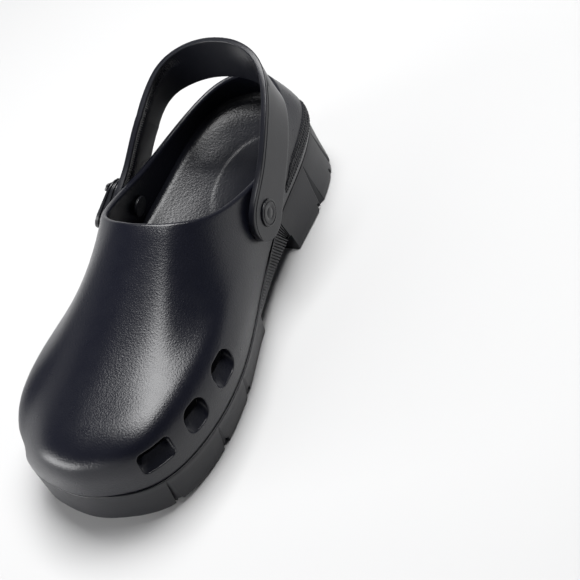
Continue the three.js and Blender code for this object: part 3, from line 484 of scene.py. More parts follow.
def new_object(name, points, faces, sharp=None):
    """Smooth-shaded object from points in millimetres; edges over a number of degrees stay sharp."""
    mesh = bpy.data.meshes.new(name)
    mesh.from_pydata(((np.asarray(points) + SHIFT) * MM).tolist(), [], [list(map(int, f)) for f in faces])
    mesh.validate()
    tool = bmesh.new()
    tool.from_mesh(mesh)
    bmesh.ops.remove_doubles(tool, verts=tool.verts, dist=0.002 * MM)
    bmesh.ops.dissolve_degenerate(tool, edges=tool.edges, dist=0.001 * MM)
    bmesh.ops.recalc_face_normals(tool, faces=tool.faces)
    tool.to_mesh(mesh)
    tool.free()
    finish_shading(mesh, sharp)
    obj = bpy.data.objects.new(name, mesh)
    bpy.context.scene.collection.objects.link(obj)
    return obj


def finish_shading(mesh, sharp):
    mesh.polygons.foreach_set("use_smooth", [True] * len(mesh.polygons))
    if sharp:
        mesh.set_sharp_from_angle(angle=math.radians(sharp))
    mesh.update()


def grid_faces(rows, size, closed_rows=False, closed_size=True):
    """Quads over rows of equally many points."""
    i = np.arange(rows if closed_rows else rows - 1)
    j = np.arange(size if closed_size else size - 1)
    i, j = np.meshgrid(i, j, indexing="ij")
    after, beside = (i + 1) % rows, (j + 1) % size
    return np.stack(
        [i * size + j, after * size + j, after * size + beside, i * size + beside], -1
    ).reshape(-1, 4)


def folded_faces(rows, size):
    """Quads over rows of points, with each end closed by a strip between the row's two halves."""
    faces = [tuple(f) for f in grid_faces(rows, size)]
    last = (rows - 1) * size
    for j in range(size // 2 - 1):
        mirror = size - 1 - j
        faces.append((j, j + 1, mirror - 1, mirror))
        faces.append((last + mirror, last + mirror - 1, last + j + 1, last + j))
    return faces


def loft(name, loops, capped=True, sharp=None):
    """Solid from loops of equally many points, with flat ends unless it narrows to nothing there."""
    loops = np.asarray(loops)
    rows, size = loops.shape[:2]
    faces = [tuple(f) for f in grid_faces(rows, size)]
    if capped:
        faces.append(tuple(range(size)))
        faces.append(tuple(range(rows * size - 1, (rows - 1) * size - 1, -1)))
    return new_object(name, loops.reshape(-1, 3), faces, sharp)


def vent_frame(station, rise):
    """Place on the skin, level direction, upward direction and normal of a vent."""
    place = skin(station, rise)
    normal = skin_normal(station, rise)
    level = skin(station + SMALL_STEP, rise) - place
    level = unit(level - dot(level, normal) * normal)
    return place, level, np.cross(normal, level), normal


def rounded_distance(a, b, length, height, corner):
    """Signed distance from the outline of a rounded rectangle."""
    qa = np.abs(a) - (length / 2 - corner)
    qb = np.abs(b) - (height / 2 - corner)
    outside = np.hypot(np.maximum(qa, 0), np.maximum(qb, 0))
    return outside + np.minimum(np.maximum(qa, qb), 0) - corner


def vent_outline(angles, offset, size):
    """Points of a vent's outline, moved out by an offset, along rays from its middle."""
    near, far = np.zeros_like(angles), np.full_like(angles, 2 * size[0])
    for _ in range(40):
        middle = (near + far) / 2
        a, b = middle * np.cos(angles), middle * np.sin(angles)
        inside = rounded_distance(a, b, *size) < offset
        near, far = np.where(inside, middle, near), np.where(inside, far, middle)
    return near * np.cos(angles), near * np.sin(angles)


def locate(surface, place, level, up, target, t, v):
    """Stations and shares where a surface, seen along a vent's axis, passes through target points."""
    step = 1e-3
    for _ in range(6):
        away = surface(t, v) - place
        by_t = (surface(t + step, v) - surface(t - step, v)) / (2 * step)
        by_v = (surface(t, v + step) - surface(t, v - step)) / (2 * step)
        miss_a, miss_b = target[0] - dot(away, level), target[1] - dot(away, up)
        ta, tb, va, vb = dot(by_t, level), dot(by_t, up), dot(by_v, level), dot(by_v, up)
        size = ta * vb - tb * va
        t = t + (vb * miss_a - va * miss_b) / size
        v = v + (ta * miss_b - tb * miss_a) / size
    return t, v


def vent_rings(station, rise, size, stations, shares):
    """Block of grid cells that a vent takes out, and the rings that lead from skin to lining."""
    place, level, up, normal = vent_frame(station, rise)
    t_grid, v_grid = np.meshgrid(stations, shares, indexing="ij")
    away = skin(t_grid, v_grid) - place
    margin = VENT_ROUND + 2.0
    near = (np.abs(dot(away, level)) < size[0] / 2 + margin)
    near &= (np.abs(dot(away, up)) < size[1] / 2 + margin) & (np.abs(dot(away, normal)) < size[0] / 2)
    rows = np.where(near.any(1))[0]
    cols = np.where(near.any(0))[0]
    i0, i1 = rows.min() - 1, rows.max() + 1
    j0, j1 = max(cols.min() - 1, 1), cols.max() + 1
    edge = [(i, j0) for i in range(i0, i1)] + [(i1, j) for j in range(j0, j1)]
    edge += [(i, j1) for i in range(i1, i0, -1)] + [(i0, j) for j in range(j1, j0, -1)]
    edge = np.array(edge)
    t_edge, v_edge = stations[edge[:, 0]], shares[edge[:, 1]]
    from_middle = skin(t_edge, v_edge) - place
    angles = np.arctan2(dot(from_middle, up), dot(from_middle, level))
    start = (station + (t_edge - station) * 0.8, rise + (v_edge - rise) * 0.8)
    rings = []

    sill = (size[0], size[1] - VENT_SILL, min(size[2], (size[1] - VENT_SILL) / 2 - 0.3))

    def sheet_ring(surface, offset):
        """Ring on the skin, or on the lining, where the sloped sill leaves a lower opening."""
        if surface is skin:
            target = vent_outline(angles, offset, size)
        else:
            a, b = vent_outline(angles, offset, sill)
            target = a, b + VENT_SILL / 2
        return locate(surface, place, level, up, target, *start)

    blend_steps = 5
    for surface, round_size, order in ((skin, VENT_ROUND, 1), (lining, VENT_INNER_ROUND, -1)):
        t_out, v_out = sheet_ring(surface, round_size)
        sheet = []
        for k in range(1, blend_steps + 1):
            share = k / blend_steps
            t_k, v_k = t_edge + (t_out - t_edge) * share, v_edge + (v_out - v_edge) * share
            sheet.append(surface(t_k, v_k))
        round_steps = 5
        for k in range(1, round_steps + 1):
            turn = QUARTER_TURN * k / round_steps
            t_k, v_k = sheet_ring(surface, round_size * (1 - math.sin(turn)))
            depth = round_size * (1 - math.cos(turn))
            sheet.append(surface(t_k, v_k) - order * depth * normal)
        rings.append(sheet[::order])
    middle = [(2 * rings[0][-1] + rings[1][0]) / 3, (rings[0][-1] + 2 * rings[1][0]) / 3]
    return (i0, i1, j0, j1), edge, rings[0] + middle + rings[1]


def make_upper():
    """Hollow shell with a rolled collar and six vents, all on one closed sheet."""
    stations = np.arange(AROUND) * STATIONS / AROUND
    shares = np.linspace(0, 1, SKIN_ROWS)
    t, v = np.meshgrid(stations, shares, indexing="ij")
    outer = skin(t, v)
    inner = lining(t, v)[:, ::-1]
    top_normal = skin_normal(stations, np.ones(AROUND))
    top_rise = skin(stations, np.ones(AROUND)) - skin(stations, np.full(AROUND, 1 - SMALL_STEP))
    top_rise = unit(top_rise - dot(top_rise, top_normal)[:, None] * top_normal)
    lip = []
    for k in range(1, LIP_ROWS):
        turn = math.pi * k / LIP_ROWS
        swing = top_normal * (math.cos(turn) - 1) + top_rise * math.sin(turn)
        lip.append(outer[:, -1] + swing * WALL / 2)
    sheet = np.concatenate([outer, np.stack(lip, 1), inner], 1)
    size = sheet.shape[1]
    sheet[..., 2] += CLEARANCE
    sheet[:, 0] -= outward(stations) * FOOT_ROUND
    points = [sheet.reshape(-1, 3)]
    total = AROUND * size
    faces = grid_faces(AROUND, size, closed_rows=True)
    row = faces[:, 0] // size
    col = faces[:, 0] % size
    keep = np.ones(len(faces), bool)
    added = []
    for station, rise, *vent_size in VENTS:
        for at in ((station, rise), (STATIONS - station + VENT_AHEAD, rise + VENT_ABOVE)):
            (i0, i1, j0, j1), edge, rings = vent_rings(*at, vent_size, stations, shares)
            in_rows = (row >= i0) & (row < i1)
            keep &= ~(in_rows & (col >= j0) & (col < j1))
            keep &= ~(in_rows & (col >= size - 1 - j1) & (col < size - 1 - j0))
            count = len(edge)
            index = [edge[:, 0] * size + edge[:, 1]]
            for ring in rings:
                index.append(total + np.arange(count))
                lifted = ring.copy()
                lifted[:, 2] += CLEARANCE
                points.append(lifted)
                total += count
            index.append(edge[:, 0] * size + (size - 1 - edge[:, 1]))
            for a, b in zip(index[:-1], index[1:]):
                added.append(np.stack([a, b, np.roll(b, -1), np.roll(a, -1)], -1))
    faces = np.concatenate([faces[keep]] + added)
    return new_object("clog_upper", np.concatenate(points), faces, sharp=50)


# Pebbled patch round the heel, above the parting line on the medial side
PATCH_START = 8.35
PATCH_END = 10.9
PATCH_LOW = 3.6
PATCH_HIGH = 15.0
PATCH_PEBBLE = 2.2
PATCH_RISE = 0.8
PATCH_SINK = 0.6
PATCH_TAPER = 6.5
PATCH_TAPER_LENGTH = 22.0


def share_at_height(t, lift):
    """Share of the wall at which it stands a distance above the parting line."""
    tried = np.linspace(0, 0.8, 161)
    heights = skin(np.asarray(t)[:, None], tried[None, :])[..., 2] - seam_point(t)[:, None, 2]
    return np.array([np.interp(lift, row, tried) for row in heights])


def pebbles(a, b):
    """Height of rounded pebbles in rows, each row set half a pebble on from the last."""
    row = np.floor(b / (0.87 * PATCH_PEBBLE))
    along = a / PATCH_PEBBLE + 0.5 * (row % 2)
    stray = 0.18 * np.sin(12.9 * np.floor(along) + 78.2 * row)
    across = b / (0.87 * PATCH_PEBBLE) - row - 0.5 + 0.6 * stray
    return np.sqrt(np.clip(1 - 3.4 * ((along % 1 - 0.5 + stray) ** 2 + across ** 2), 0, 1))


def make_patch():
    """Thin pebbled sheet let into the upper's outer face, lower toward its front end."""
    along_count, up_count = 240, 52
    t = np.linspace(PATCH_START, PATCH_END, along_count)
    low, high = share_at_height(t, PATCH_LOW), share_at_height(t, PATCH_HIGH)
    up = np.linspace(0, 1, up_count)
    v = low[:, None] + (high - low)[:, None] * up
    t_grid = np.broadcast_to(t[:, None], v.shape)
    base = skin(t_grid, v)
    normal = skin_normal(t_grid, v)
    a = np.concatenate([[0], np.cumsum(np.linalg.norm(np.diff(base[:, 0], axis=0), axis=1))])[:, None]
    b = np.broadcast_to((PATCH_HIGH - PATCH_LOW) * up, v.shape)
    taper = PATCH_HIGH - PATCH_LOW - PATCH_TAPER * smooth(1 - a / PATCH_TAPER_LENGTH) - b
    inside = smooth(a / 1.5) * smooth((a[-1] - a) / 1.5) * smooth(taper / 1.2) * smooth(b / 0.8)
    height = PATCH_RISE * pebbles(a, b) * inside
    outer = base + normal * (height + 0.06 * inside - PATCH_SINK * (1 - inside) * 0.3)[..., None]
    inner = base - normal * PATCH_SINK
    for sheet in (outer, inner):
        sheet[..., 2] += CLEARANCE
    loops = np.concatenate([outer, inner[:, ::-1]], 1)
    return new_object("clog_heel_patch", loops.reshape(-1, 3), folded_faces(*loops.shape[:2]), sharp=60)


# Outsole

def ground_height(t):
    return np.maximum(0, ground(t) - FLAT_SHARE) * TOE_SPRING


def sole_side(t):
    """Profile down one side of the outsole: round lip, bowed side, round lower corner."""
    top = seam_point(t)
    out = outward(t)
    spread = FLARE * float(flare(t))
    drop = float(top[2] - ground_height(t))
    proud = LIP_PROUD * float(smooth(t - 0.6) * smooth(8.0 - t))
    steps = [(-4 * SOLE_LIP, 0.0)]
    for k in range(4):
        turn = QUARTER_TURN * k / 3
        steps.append((proud - SOLE_LIP * (1 - math.sin(turn)), SOLE_LIP * (1 - math.cos(turn))))
    bend = (SOLE_LIP, drop / 2, drop - SOLE_CORNER)
    for k in range(1, 9):
        fall = bend[0] + (bend[2] - bend[0]) * k / 8
        if fall < bend[1]:
            reach = spread * SIDE_BEND * (fall - bend[0]) / (bend[1] - bend[0])
        else:
            reach = spread * (SIDE_BEND + (1 - SIDE_BEND) * (fall - bend[1]) / (bend[2] - bend[1]))
        steps.append((reach + proud * max(0, 1 - (fall - bend[0]) / 3), fall))
    for k in range(1, 6):
        turn = QUARTER_TURN * k / 5
        steps.append((spread - SOLE_CORNER * (1 - math.cos(turn)), drop - SOLE_CORNER * (1 - math.sin(turn))))
    return np.array([top + out * reach - np.array([0, 0, fall]) for reach, fall in steps])


def sole_section(t):
    medial = sole_side(t)
    lateral = sole_side(STATIONS - t)
    share = np.linspace(0, 1, SOLE_ACROSS)[1:-1, None]
    under = medial[-1] + (lateral[-1] - medial[-1]) * share
    above = lateral[0] + (medial[0] - lateral[0]) * share
    return np.concatenate([medial, under, lateral[::-1], above])


def prism(bottom, top):
    """Closed solid between two rings of equally many points: (points, faces)."""
    size = len(bottom)
    faces = [(k, (k + 1) % size, size + (k + 1) % size, size + k) for k in range(size)]
    faces += [tuple(range(size - 1, -1, -1)), tuple(range(size, 2 * size))]
    return np.concatenate([bottom, top]), faces


def ring_at(points, z):
    points = np.asarray(points, float)
    return np.column_stack([points, np.full(len(points), z)])


def bar(start, end, low_half, high_half, low, high):
    """Tapered straight bar in plan."""
    start, end = np.asarray(start, float), np.asarray(end, float)
    along = unit(end - start)
    side = np.array([-along[1], along[0]])

    def corners(half):
        return [start + side * half, start - side * half, end - side * half, end + side * half]

    return prism(ring_at(corners(low_half), low), ring_at(corners(high_half), high))


def ribbon(path, half, low, high):
    """Strip of even width along a path in plan."""
    path = np.asarray(path, float)
    ahead = unit(np.gradient(path, axis=0))
    side = np.column_stack([-ahead[:, 1], ahead[:, 0]]) * half
    outline = np.concatenate([path + side, (path - side)[::-1]])
    count = len(path)
    size = 2 * count
    points = np.concatenate([ring_at(outline, low), ring_at(outline, high)])
    faces = [(k, (k + 1) % size, size + (k + 1) % size, size + k) for k in range(size)]
    for k in range(count - 1):
        mirror = size - 1 - k
        faces.append((mirror, mirror - 1, k + 1, k))
        faces.append((size + k, size + k + 1, size + mirror - 1, size + mirror))
    return points, faces


def arch_side(distance):
    """Height of the ribbed side over the arch, taller toward the heel."""
    middle = (ARCH_START + ARCH_END) / 2
    return ARCH_SIDE + ARCH_SIDE_SLOPE * (distance - middle)


def arch_tunnel():
    rows, steps = 40, 14
    loops = []
    for distance in np.linspace(ARCH_START, ARCH_END, rows + 1):
        line = []
        for side in (1, -1):
            edge = seam_point(station_at(distance / LENGTH, side))
            straight = arch_side(distance) if side > 0 else ARCH_EDGE
            span = [(edge[0] + side * FLARE, edge[2] - straight)]
            for j in range(steps + 1):
                share = 1 - j / steps
                x = side * ARCH_SHANK + (edge[0] - side * ARCH_SHANK) * share
                z = ARCH_HEIGHT + (edge[2] - straight - ARCH_HEIGHT) * share ** ARCH_CURVE
                span.append((x, z))
            line += span if side > 0 else span[::-1]
        y = from_toe(distance)
        top = [(x, y, z) for x, z in line]
        loops.append(top + [(x, y, -SOLE_CORNER) for x, _ in line[::-1]])
    loops = np.array(loops)
    return [(loops.reshape(-1, 3), folded_faces(*loops.shape[:2]))]


def plan_point(along, across):
    return (across * BALL_WIDTH / 2, from_toe(along * LENGTH))


def groove_cutters():
    pieces = []
    for from_along, from_across, to_along, to_across in GROOVES:
        ends = plan_point(from_along, from_across), plan_point(to_along, to_across)
        pieces.append(bar(*ends, GROOVE_WIDTH / 2, GROOVE_WIDTH / 4, -SOLE_CORNER, GROOVE_DEPTH))
    return pieces


def notch_cutter(top, floor, side):
    t = station_at(top, side)
    high = seam_point(t)
    out = outward(t)
    across = np.array([-out[1], out[0], 0])
    to_heel = 1 if across[1] >= 0 else -1
    shift = (floor - top) * LENGTH * to_heel
    reach = FLARE + SOLE_CORNER
    spread = FLARE * float(flare(t))
    apex = high[2] - NOTCH_TOP
    wide = to_heel * NOTCH_WIDTH / 2
    narrow = to_heel * CLEARANCE

    def corner(depth, slide, z):
        point = high + out * depth + across * slide
        return [point[0], point[1], z]

    top_ring = [corner(reach, narrow, apex), corner(reach, -narrow, apex),
                corner(-CLEARANCE, -narrow, apex), corner(0, narrow, apex)]
    low = -SOLE_CORNER
    low_ring = [corner(reach, shift + wide, low), corner(reach, shift - wide, low),
                corner(spread - NOTCH_DEPTH, shift - wide, low), corner(spread, shift + wide, low)]
    return prism(np.array(low_ring), np.array(top_ring))


def notch_cutters():
    pieces = []
    for top, floor, side in NOTCHES:
        for one in ((1, -1) if side == 0 else (side,)):
            pieces.append(notch_cutter(top, floor, one))
    return pieces


def band_cutters():
    middle = (BAND_INNER - BAND_OUTER) / 2
    half = (BAND_INNER + BAND_OUTER) / 2
    spans = ((BAND_TOE, ARCH_START + CLEARANCE), (ARCH_END - CLEARANCE, BAND_HEEL))
    wide = half + BAND_RECESS / 2
    return [
        bar((middle, from_toe(start)), (middle, from_toe(end)), wide, half, -SOLE_CORNER, BAND_RECESS)
        for start, end in spans
    ]


def rib_cutters():
    pieces = []
    distance = ARCH_START + RIB_PITCH
    while distance < ARCH_END - RIB_PITCH:
        top = seam_point(station_at(distance / LENGTH, 1))
        slope_top = top[2] - arch_side(distance)
        outer, side_face = top[0] + FLARE, top[0] - RIB_DEPTH
        inner = top[0] - RIB_RUN * (slope_top - ARCH_HEIGHT)
        lip = top[2] - 2 * SOLE_LIP
        outline = [(outer, lip), (side_face, lip), (side_face, slope_top), (inner, ARCH_HEIGHT + RIB_DEPTH),
                   (inner, ARCH_HEIGHT - RIB_DEPTH), (outer, ARCH_HEIGHT - RIB_DEPTH)]
        y = from_toe(distance)
        slant = min(RIB_SLANT, (ARCH_END - RIB_GROOVE - distance) / (top[2] - ARCH_HEIGHT + RIB_DEPTH))
        rings = [np.array([(x, y + shift + slant * (lip - z), z) for x, z in outline])
                 for shift in (RIB_GROOVE / 2, -RIB_GROOVE / 2)]
        pieces.append(prism(*rings))
        distance += RIB_PITCH
    return pieces


def rounded_outline(length, width, corner, steps=6):
    """Points round a rectangle with round corners, about its middle."""
    points = []
    for k, (sx, sy) in enumerate(((1, -1), (1, 1), (-1, 1), (-1, -1))):
        for j in range(steps + 1):
            turn = (k - 1) * QUARTER_TURN + QUARTER_TURN * j / steps
            points.append((sx * (length / 2 - corner) + corner * math.cos(turn),
                           sy * (width / 2 - corner) + corner * math.sin(turn)))
    return np.array(points)


def frame_cutters():
    """Plain rectangular line under the arch."""
    middle = np.array([FRAME_MIDDLE, from_toe((ARCH_START + ARCH_END) / 2)])
    outer = rounded_outline(FRAME_WIDTH, FRAME_LENGTH, FRAME_LINE) + middle
    lines = 2 * FRAME_LINE
    inner = rounded_outline(FRAME_WIDTH - lines, FRAME_LENGTH - lines, FRAME_LINE / 2) + middle
    low, high = ARCH_HEIGHT - FRAME_DEPTH, ARCH_HEIGHT + FRAME_DEPTH
    size = len(outer)
    rings = ((outer, low), (outer, high), (inner, high), (inner, low))
    points = np.concatenate([ring_at(outline, z) for outline, z in rings])
    faces = []
    for ring in range(4):
        for k in range(size):
            here, there = ring * size, (ring + 1) % 4 * size
            faces.append((here + k, here + (k + 1) % size, there + (k + 1) % size, there + k))
    return [(points, faces)]


TREAD_UNIT = 15.0
TREAD_LINE = 0.9
TREAD_WAVE = 5.0
HEEL_ARC_START = 200.0
HEEL_ARC_RADIUS = 62.0
HEEL_ARC_PITCH = 5.0


def tread_cutters():
    """Wavy lines across the middle band and fine arcs across the heel."""
    pieces = []
    half_turn = np.linspace(0, 1, 25)
    for start in np.arange(BAND_TOE + 8, BAND_HEEL - 6, TREAD_UNIT):
        in_arch = ARCH_START - 6 < start < ARCH_END + 2
        low = ARCH_HEIGHT - 2 if in_arch else -SOLE_CORNER
        high = (ARCH_HEIGHT if in_arch else BAND_RECESS) + TREAD_LINE
        if abs(start - ARCH_START) < 8 or abs(start - ARCH_END) < 8:
            continue
        across = BAND_INNER - 2 - (BAND_INNER + BAND_OUTER - 4) * half_turn
        wave = TREAD_WAVE * np.sin(2 * math.pi * half_turn)
        for lag in (0.0, 4.0):
            path = np.column_stack([across, from_toe(start + lag + wave)])
            pieces.append(ribbon(path, TREAD_LINE / 2, low, high))
    for k in range(3):
        turn = np.linspace(-0.9, 0.9, 25)
        radius = HEEL_ARC_RADIUS + HEEL_ARC_PITCH * k
        back = from_toe(HEEL_ARC_START) + radius * np.cos(turn) * 0.98 - 4
        path = np.column_stack([radius * np.sin(turn) * 0.45, back])
        pieces.append(ribbon(path, TREAD_LINE / 3, -SOLE_CORNER, TREAD_LINE))
    return pieces


def joined_cutter(name, pieces):
    points, faces, total = [], [], 0
    for part_points, part_faces in pieces:
        points.append(part_points)
        faces += [tuple(total + k for k in f) for f in part_faces]
        total += len(part_points)
    return new_object(name, np.concatenate(points), faces)


def combine(obj, others, sharp):
    """Takes (piece, operation) pairs, joins or cuts them one after the other and keeps the result."""
    for other, operation in others:
        modifier = obj.modifiers.new(other.name, "BOOLEAN")
        modifier.operation = operation
        modifier.solver = "MANIFOLD"
        modifier.object = other
    graph = bpy.context.evaluated_depsgraph_get()
    made = bpy.data.meshes.new_from_object(obj.evaluated_get(graph))
    obj.modifiers.clear()
    obj.data = made
    for other, _ in others:
        bpy.data.objects.remove(other)
    finish_shading(obj.data, sharp)


def make_outsole():
    turn = np.linspace(0, math.pi, SOLE_ROWS + 1)
    even = np.linspace(0, HEEL_STATION, SOLE_ROWS + 1)
    stations = 0.5 * even + 0.5 * HEEL_STATION * (1 - np.cos(turn)) / 2
    obj = loft("clog_outsole", [sole_section(t) for t in stations], capped=False)
    groups = [arch_tunnel(), frame_cutters(), band_cutters(), groove_cutters(), notch_cutters(),
              rib_cutters(), tread_cutters()]
    cutters = [joined_cutter(f"cutter_{k}", pieces) for k, pieces in enumerate(groups)]
    combine(obj, [(cutter, "DIFFERENCE") for cutter in cutters], sharp=32)
    return obj


# Insole

PAD_MIDDLE = (8.6, 78.0)
PAD_HALF_SIZES = (20.0, 35.0)
PAD_SINK = 0.35
PAD_EDGE = 0.7


def heel_pad(x, y):
    """1 on the smooth oval pad under the heel, 0 beyond its edge."""
    away = np.hypot((x - PAD_MIDDLE[0]) / PAD_HALF_SIZES[0], (y - PAD_MIDDLE[1]) / PAD_HALF_SIZES[1])
    return smooth((1 - away) * PAD_HALF_SIZES[0] / PAD_EDGE)


def make_insole():
    """Footbed dished at the heel, its edge rising softly against the lining."""
    stations = np.arange(FOOTBED_AROUND) * STATIONS / FOOTBED_AROUND
    heel = np.maximum(0, 2 * seam_along(stations) - 1)
    base_edge = seam_point(stations) - outward(stations) * (WALL + FOOTBED_SLACK)
    base_edge[:, 2] += CLEARANCE
    rise = FOOTBED + FOOTBED_RIM * heel + FOOTBED_FILLET
    share = np.zeros(FOOTBED_AROUND)
    for k in range(FOOTBED_AROUND):
        tried = np.linspace(0.02, 0.6, 240)
        wall = lining(np.full(240, stations[k]), tried)
        share[k] = tried[np.argmin(np.abs(wall[:, 2] - (seam_point(stations[k])[2] + rise[k])))]
    lip = lining(stations, share) - skin_normal(stations, share) * CLEARANCE * 1.5
    ends = 26.0
    low, high = base_edge[:, 1].min() + ends, base_edge[:, 1].max() - ends
    mirror = (FOOTBED_AROUND - np.arange(FOOTBED_AROUND)) % FOOTBED_AROUND
    spine = (base_edge + base_edge[mirror]) / 2
    middle_row = np.clip(base_edge[:, 1], low, high)
    order = np.argsort(spine[: FOOTBED_AROUND // 2 + 1, 1])
    sampled = spine[: FOOTBED_AROUND // 2 + 1][order]
    spine_x = np.interp(middle_row, sampled[:, 1], sampled[:, 0])
    spine_z = np.interp(middle_row, sampled[:, 1], sampled[:, 2])
    spine_heel = np.maximum(0, 2 * (middle_row + LENGTH / 2) / LENGTH - 1)
    flat_edge = FOOTBED + FOOTBED_RIM * heel
    rows = []
    for k in range(FOOTBED_ROWS):
        r = k / (FOOTBED_ROWS - 1)
        x = spine_x + (lip[:, 0] - spine_x) * r
        y = middle_row + (lip[:, 1] - middle_row) * r
        edge_z = base_edge[:, 2] + flat_edge
        fade = math.sqrt(max(0, math.cos(QUARTER_TURN * r)))
        dish = FOOTBED_RIM * (spine_heel + (heel - spine_heel) * r) * fade
        top_z = (spine_z + FOOTBED + FOOTBED_RIM * spine_heel) * (1 - r) + edge_z * r - dish
        hollow = FOOTBED_DISH * (0.35 + 0.65 * smooth((y + LENGTH / 2) / LENGTH * 3 - 1))
        power = 2 + 2 * smooth((y - PAD_MIDDLE[1]) / PAD_HALF_SIZES[1])
        top_z = top_z + hollow * (r ** power - 0.42) - PAD_SINK * heel_pad(x, y)
        away = np.hypot(lip[:, 0] - x, lip[:, 1] - y)
        curl = np.clip(1 - away / (FOOTBED_FILLET * 1.5), 0, 1)
        z = top_z + (lip[:, 2] - edge_z) * (1 - np.sqrt(np.clip(1 - curl ** 2, 0, 1)))
        rows.append(np.column_stack([x, y, z]))
    top = np.array(rows)
    bottom_edge = base_edge.copy()
    bottom_rows = []
    for k in range(6):
        r = 1 - k / 5
        x = spine_x + (bottom_edge[:, 0] - spine_x) * r
        y = middle_row + (bottom_edge[:, 1] - middle_row) * r
        z = spine_z + (bottom_edge[:, 2] - spine_z) * r
        bottom_rows.append(np.column_stack([x, y, z]))
    loops = np.concatenate([top, np.array(bottom_rows)]).transpose(1, 0, 2)
    size = loops.shape[1]
    faces = [tuple(f) for f in grid_faces(FOOTBED_AROUND, size, closed_rows=True, closed_size=False)]
    return new_object("clog_insole", loops.reshape(-1, 3), faces, sharp=60)


# Strap, rivets and buckle

class Pivot:
    """Place, normal and directions of the strap's inner face at one rivet."""

    def __init__(self, side):
        t = station_at(PIVOT_BACK / LENGTH, side)
        v = 0.0
        while v < 1 and skin(t, v)[2] < PIVOT_HEIGHT:
            v += SMALL_STEP
        place = skin(t, v)
        low, high = skin(t, max(v - PIVOT_SPAN, 0)), skin(t, min(v + PIVOT_SPAN, 1))
        self.slope = (high[0] - low[0]) / (high[2] - low[2])
        self.normal = unit(np.array([side, 0, -side * self.slope]))
        lean = column(STRAP, "lean")[1] * QUARTER_TURN
        self.along = unit(np.array([self.slope * math.sin(lean), math.cos(lean), math.sin(lean)]))
        t_near, v_near = np.meshgrid(np.arange(t - 1, t + 1.05, 0.1), np.arange(0, 1.01, 0.05), indexing="ij")
        bulge = self.reach(skin(t_near, v_near) - place, STRAP_PADDLE).max(initial=0)
        self.place = place + self.normal * (bulge + CLEARANCE)
        self.depth = (-self.reach(lining(t_near, v_near) - self.place, RIVET_BACK)).max(initial=0)

    def reach(self, offsets, radius):
        """Distances along the normal of the offsets that lie within a radius of the axis."""
        away = dot(offsets, self.normal)
        aside = np.linalg.norm(offsets - away[..., None] * self.normal, axis=-1)
        return away[aside < radius]

    def matrix(self, shift=0.0, lift=0.0):
        """Columns: up the strap, across it, outward; with the place as the last column."""
        level = unit(self.along - dot(self.along, self.normal) * self.normal)
        place = self.place + level * shift + self.normal * lift
        return np.column_stack([level, np.cross(self.normal, level), self.normal]), place

    def put(self, points, shift=0.0, lift=0.0):
        axes, place = self.matrix(shift, lift)
        return np.asarray(points) @ axes.T + place


MEDIAL = Pivot(1)
LATERAL = Pivot(-1)


def strap_columns():
    curves = []
    for name in STRAP["columns"]:
        medial = column(STRAP, name)
        sign = -1 if name == "across" else 1
        curves.append(Curve(medial + [sign * value for value in medial[:-1][::-1]], closed=False))
    return curves


STRAP_CURVES = strap_columns()
STRAP_END = 2 * len(STRAP["rows"]) - 2


def strap_middle(u):
    back, up, across, lean, width = (float(curve(u)) for curve in STRAP_CURVES)
    pivots = {1: MEDIAL, -1: LATERAL}
    ends = {side: pivot.place + pivot.normal * STRAP_THICKNESS / 2 for side, pivot in pivots.items()}
    side = 1 if across >= 0 else -1
    slope = (MEDIAL if across > 0 else LATERAL).slope
    middle = ends[-1] + (ends[1] - ends[-1]) * (1 + across) / 2
    rise = up * STRAP_LENGTH
    level = ends[side][0] + slope * min(rise, STRAP_WIDTH)
    place = np.array([abs(across) * level, middle[1] + back * STRAP_LENGTH, middle[2] + rise])
    return place, lean * QUARTER_TURN, slope * abs(across), width * STRAP_WIDTH


def strap_profile(half, depth, groove, knurl):
    """Section of the band: a groove beside the front edge outside, a knurled strip beside it inside."""
    small = min(1.0, half / 8)
    edge = STRAP_ROUND * small
    inside = [(0.0, depth), ((half - 7 * small) / 2, depth), (half - 7 * small, depth)]
    inside += [(half - reach * small, depth - knurl * small) for reach in (6.7, 5.2, 3.6, 2.4)]
    inside.append((half - 2 * small, depth))
    turns = QUARTER_TURN * np.arange(5) / 4
    corner = [(half - edge * (1 - math.sin(a)), depth - edge * (1 - math.cos(a))) for a in turns]
    corner += [(half - edge * (1 - math.cos(a)), -depth + edge * (1 - math.sin(a))) for a in turns]
    outside = [(half - reach * small, -depth + sink * small)
               for reach, sink in ((2.2, 0), (2.5, groove), (2.9, groove), (3.2, 0))]
    outside += [(half * share, -depth) for share in (0.5, 0.25)]
    return inside + corner + outside


def strap_section(half, groove, knurl):
    depth = STRAP_THICKNESS / 2
    front = strap_profile(half, depth, groove, knurl)
    back = [(-w, d) for w, d in strap_profile(half, depth, 0, 0)[::-1]][:-1]
    return front + [(0.0, -depth)] + back


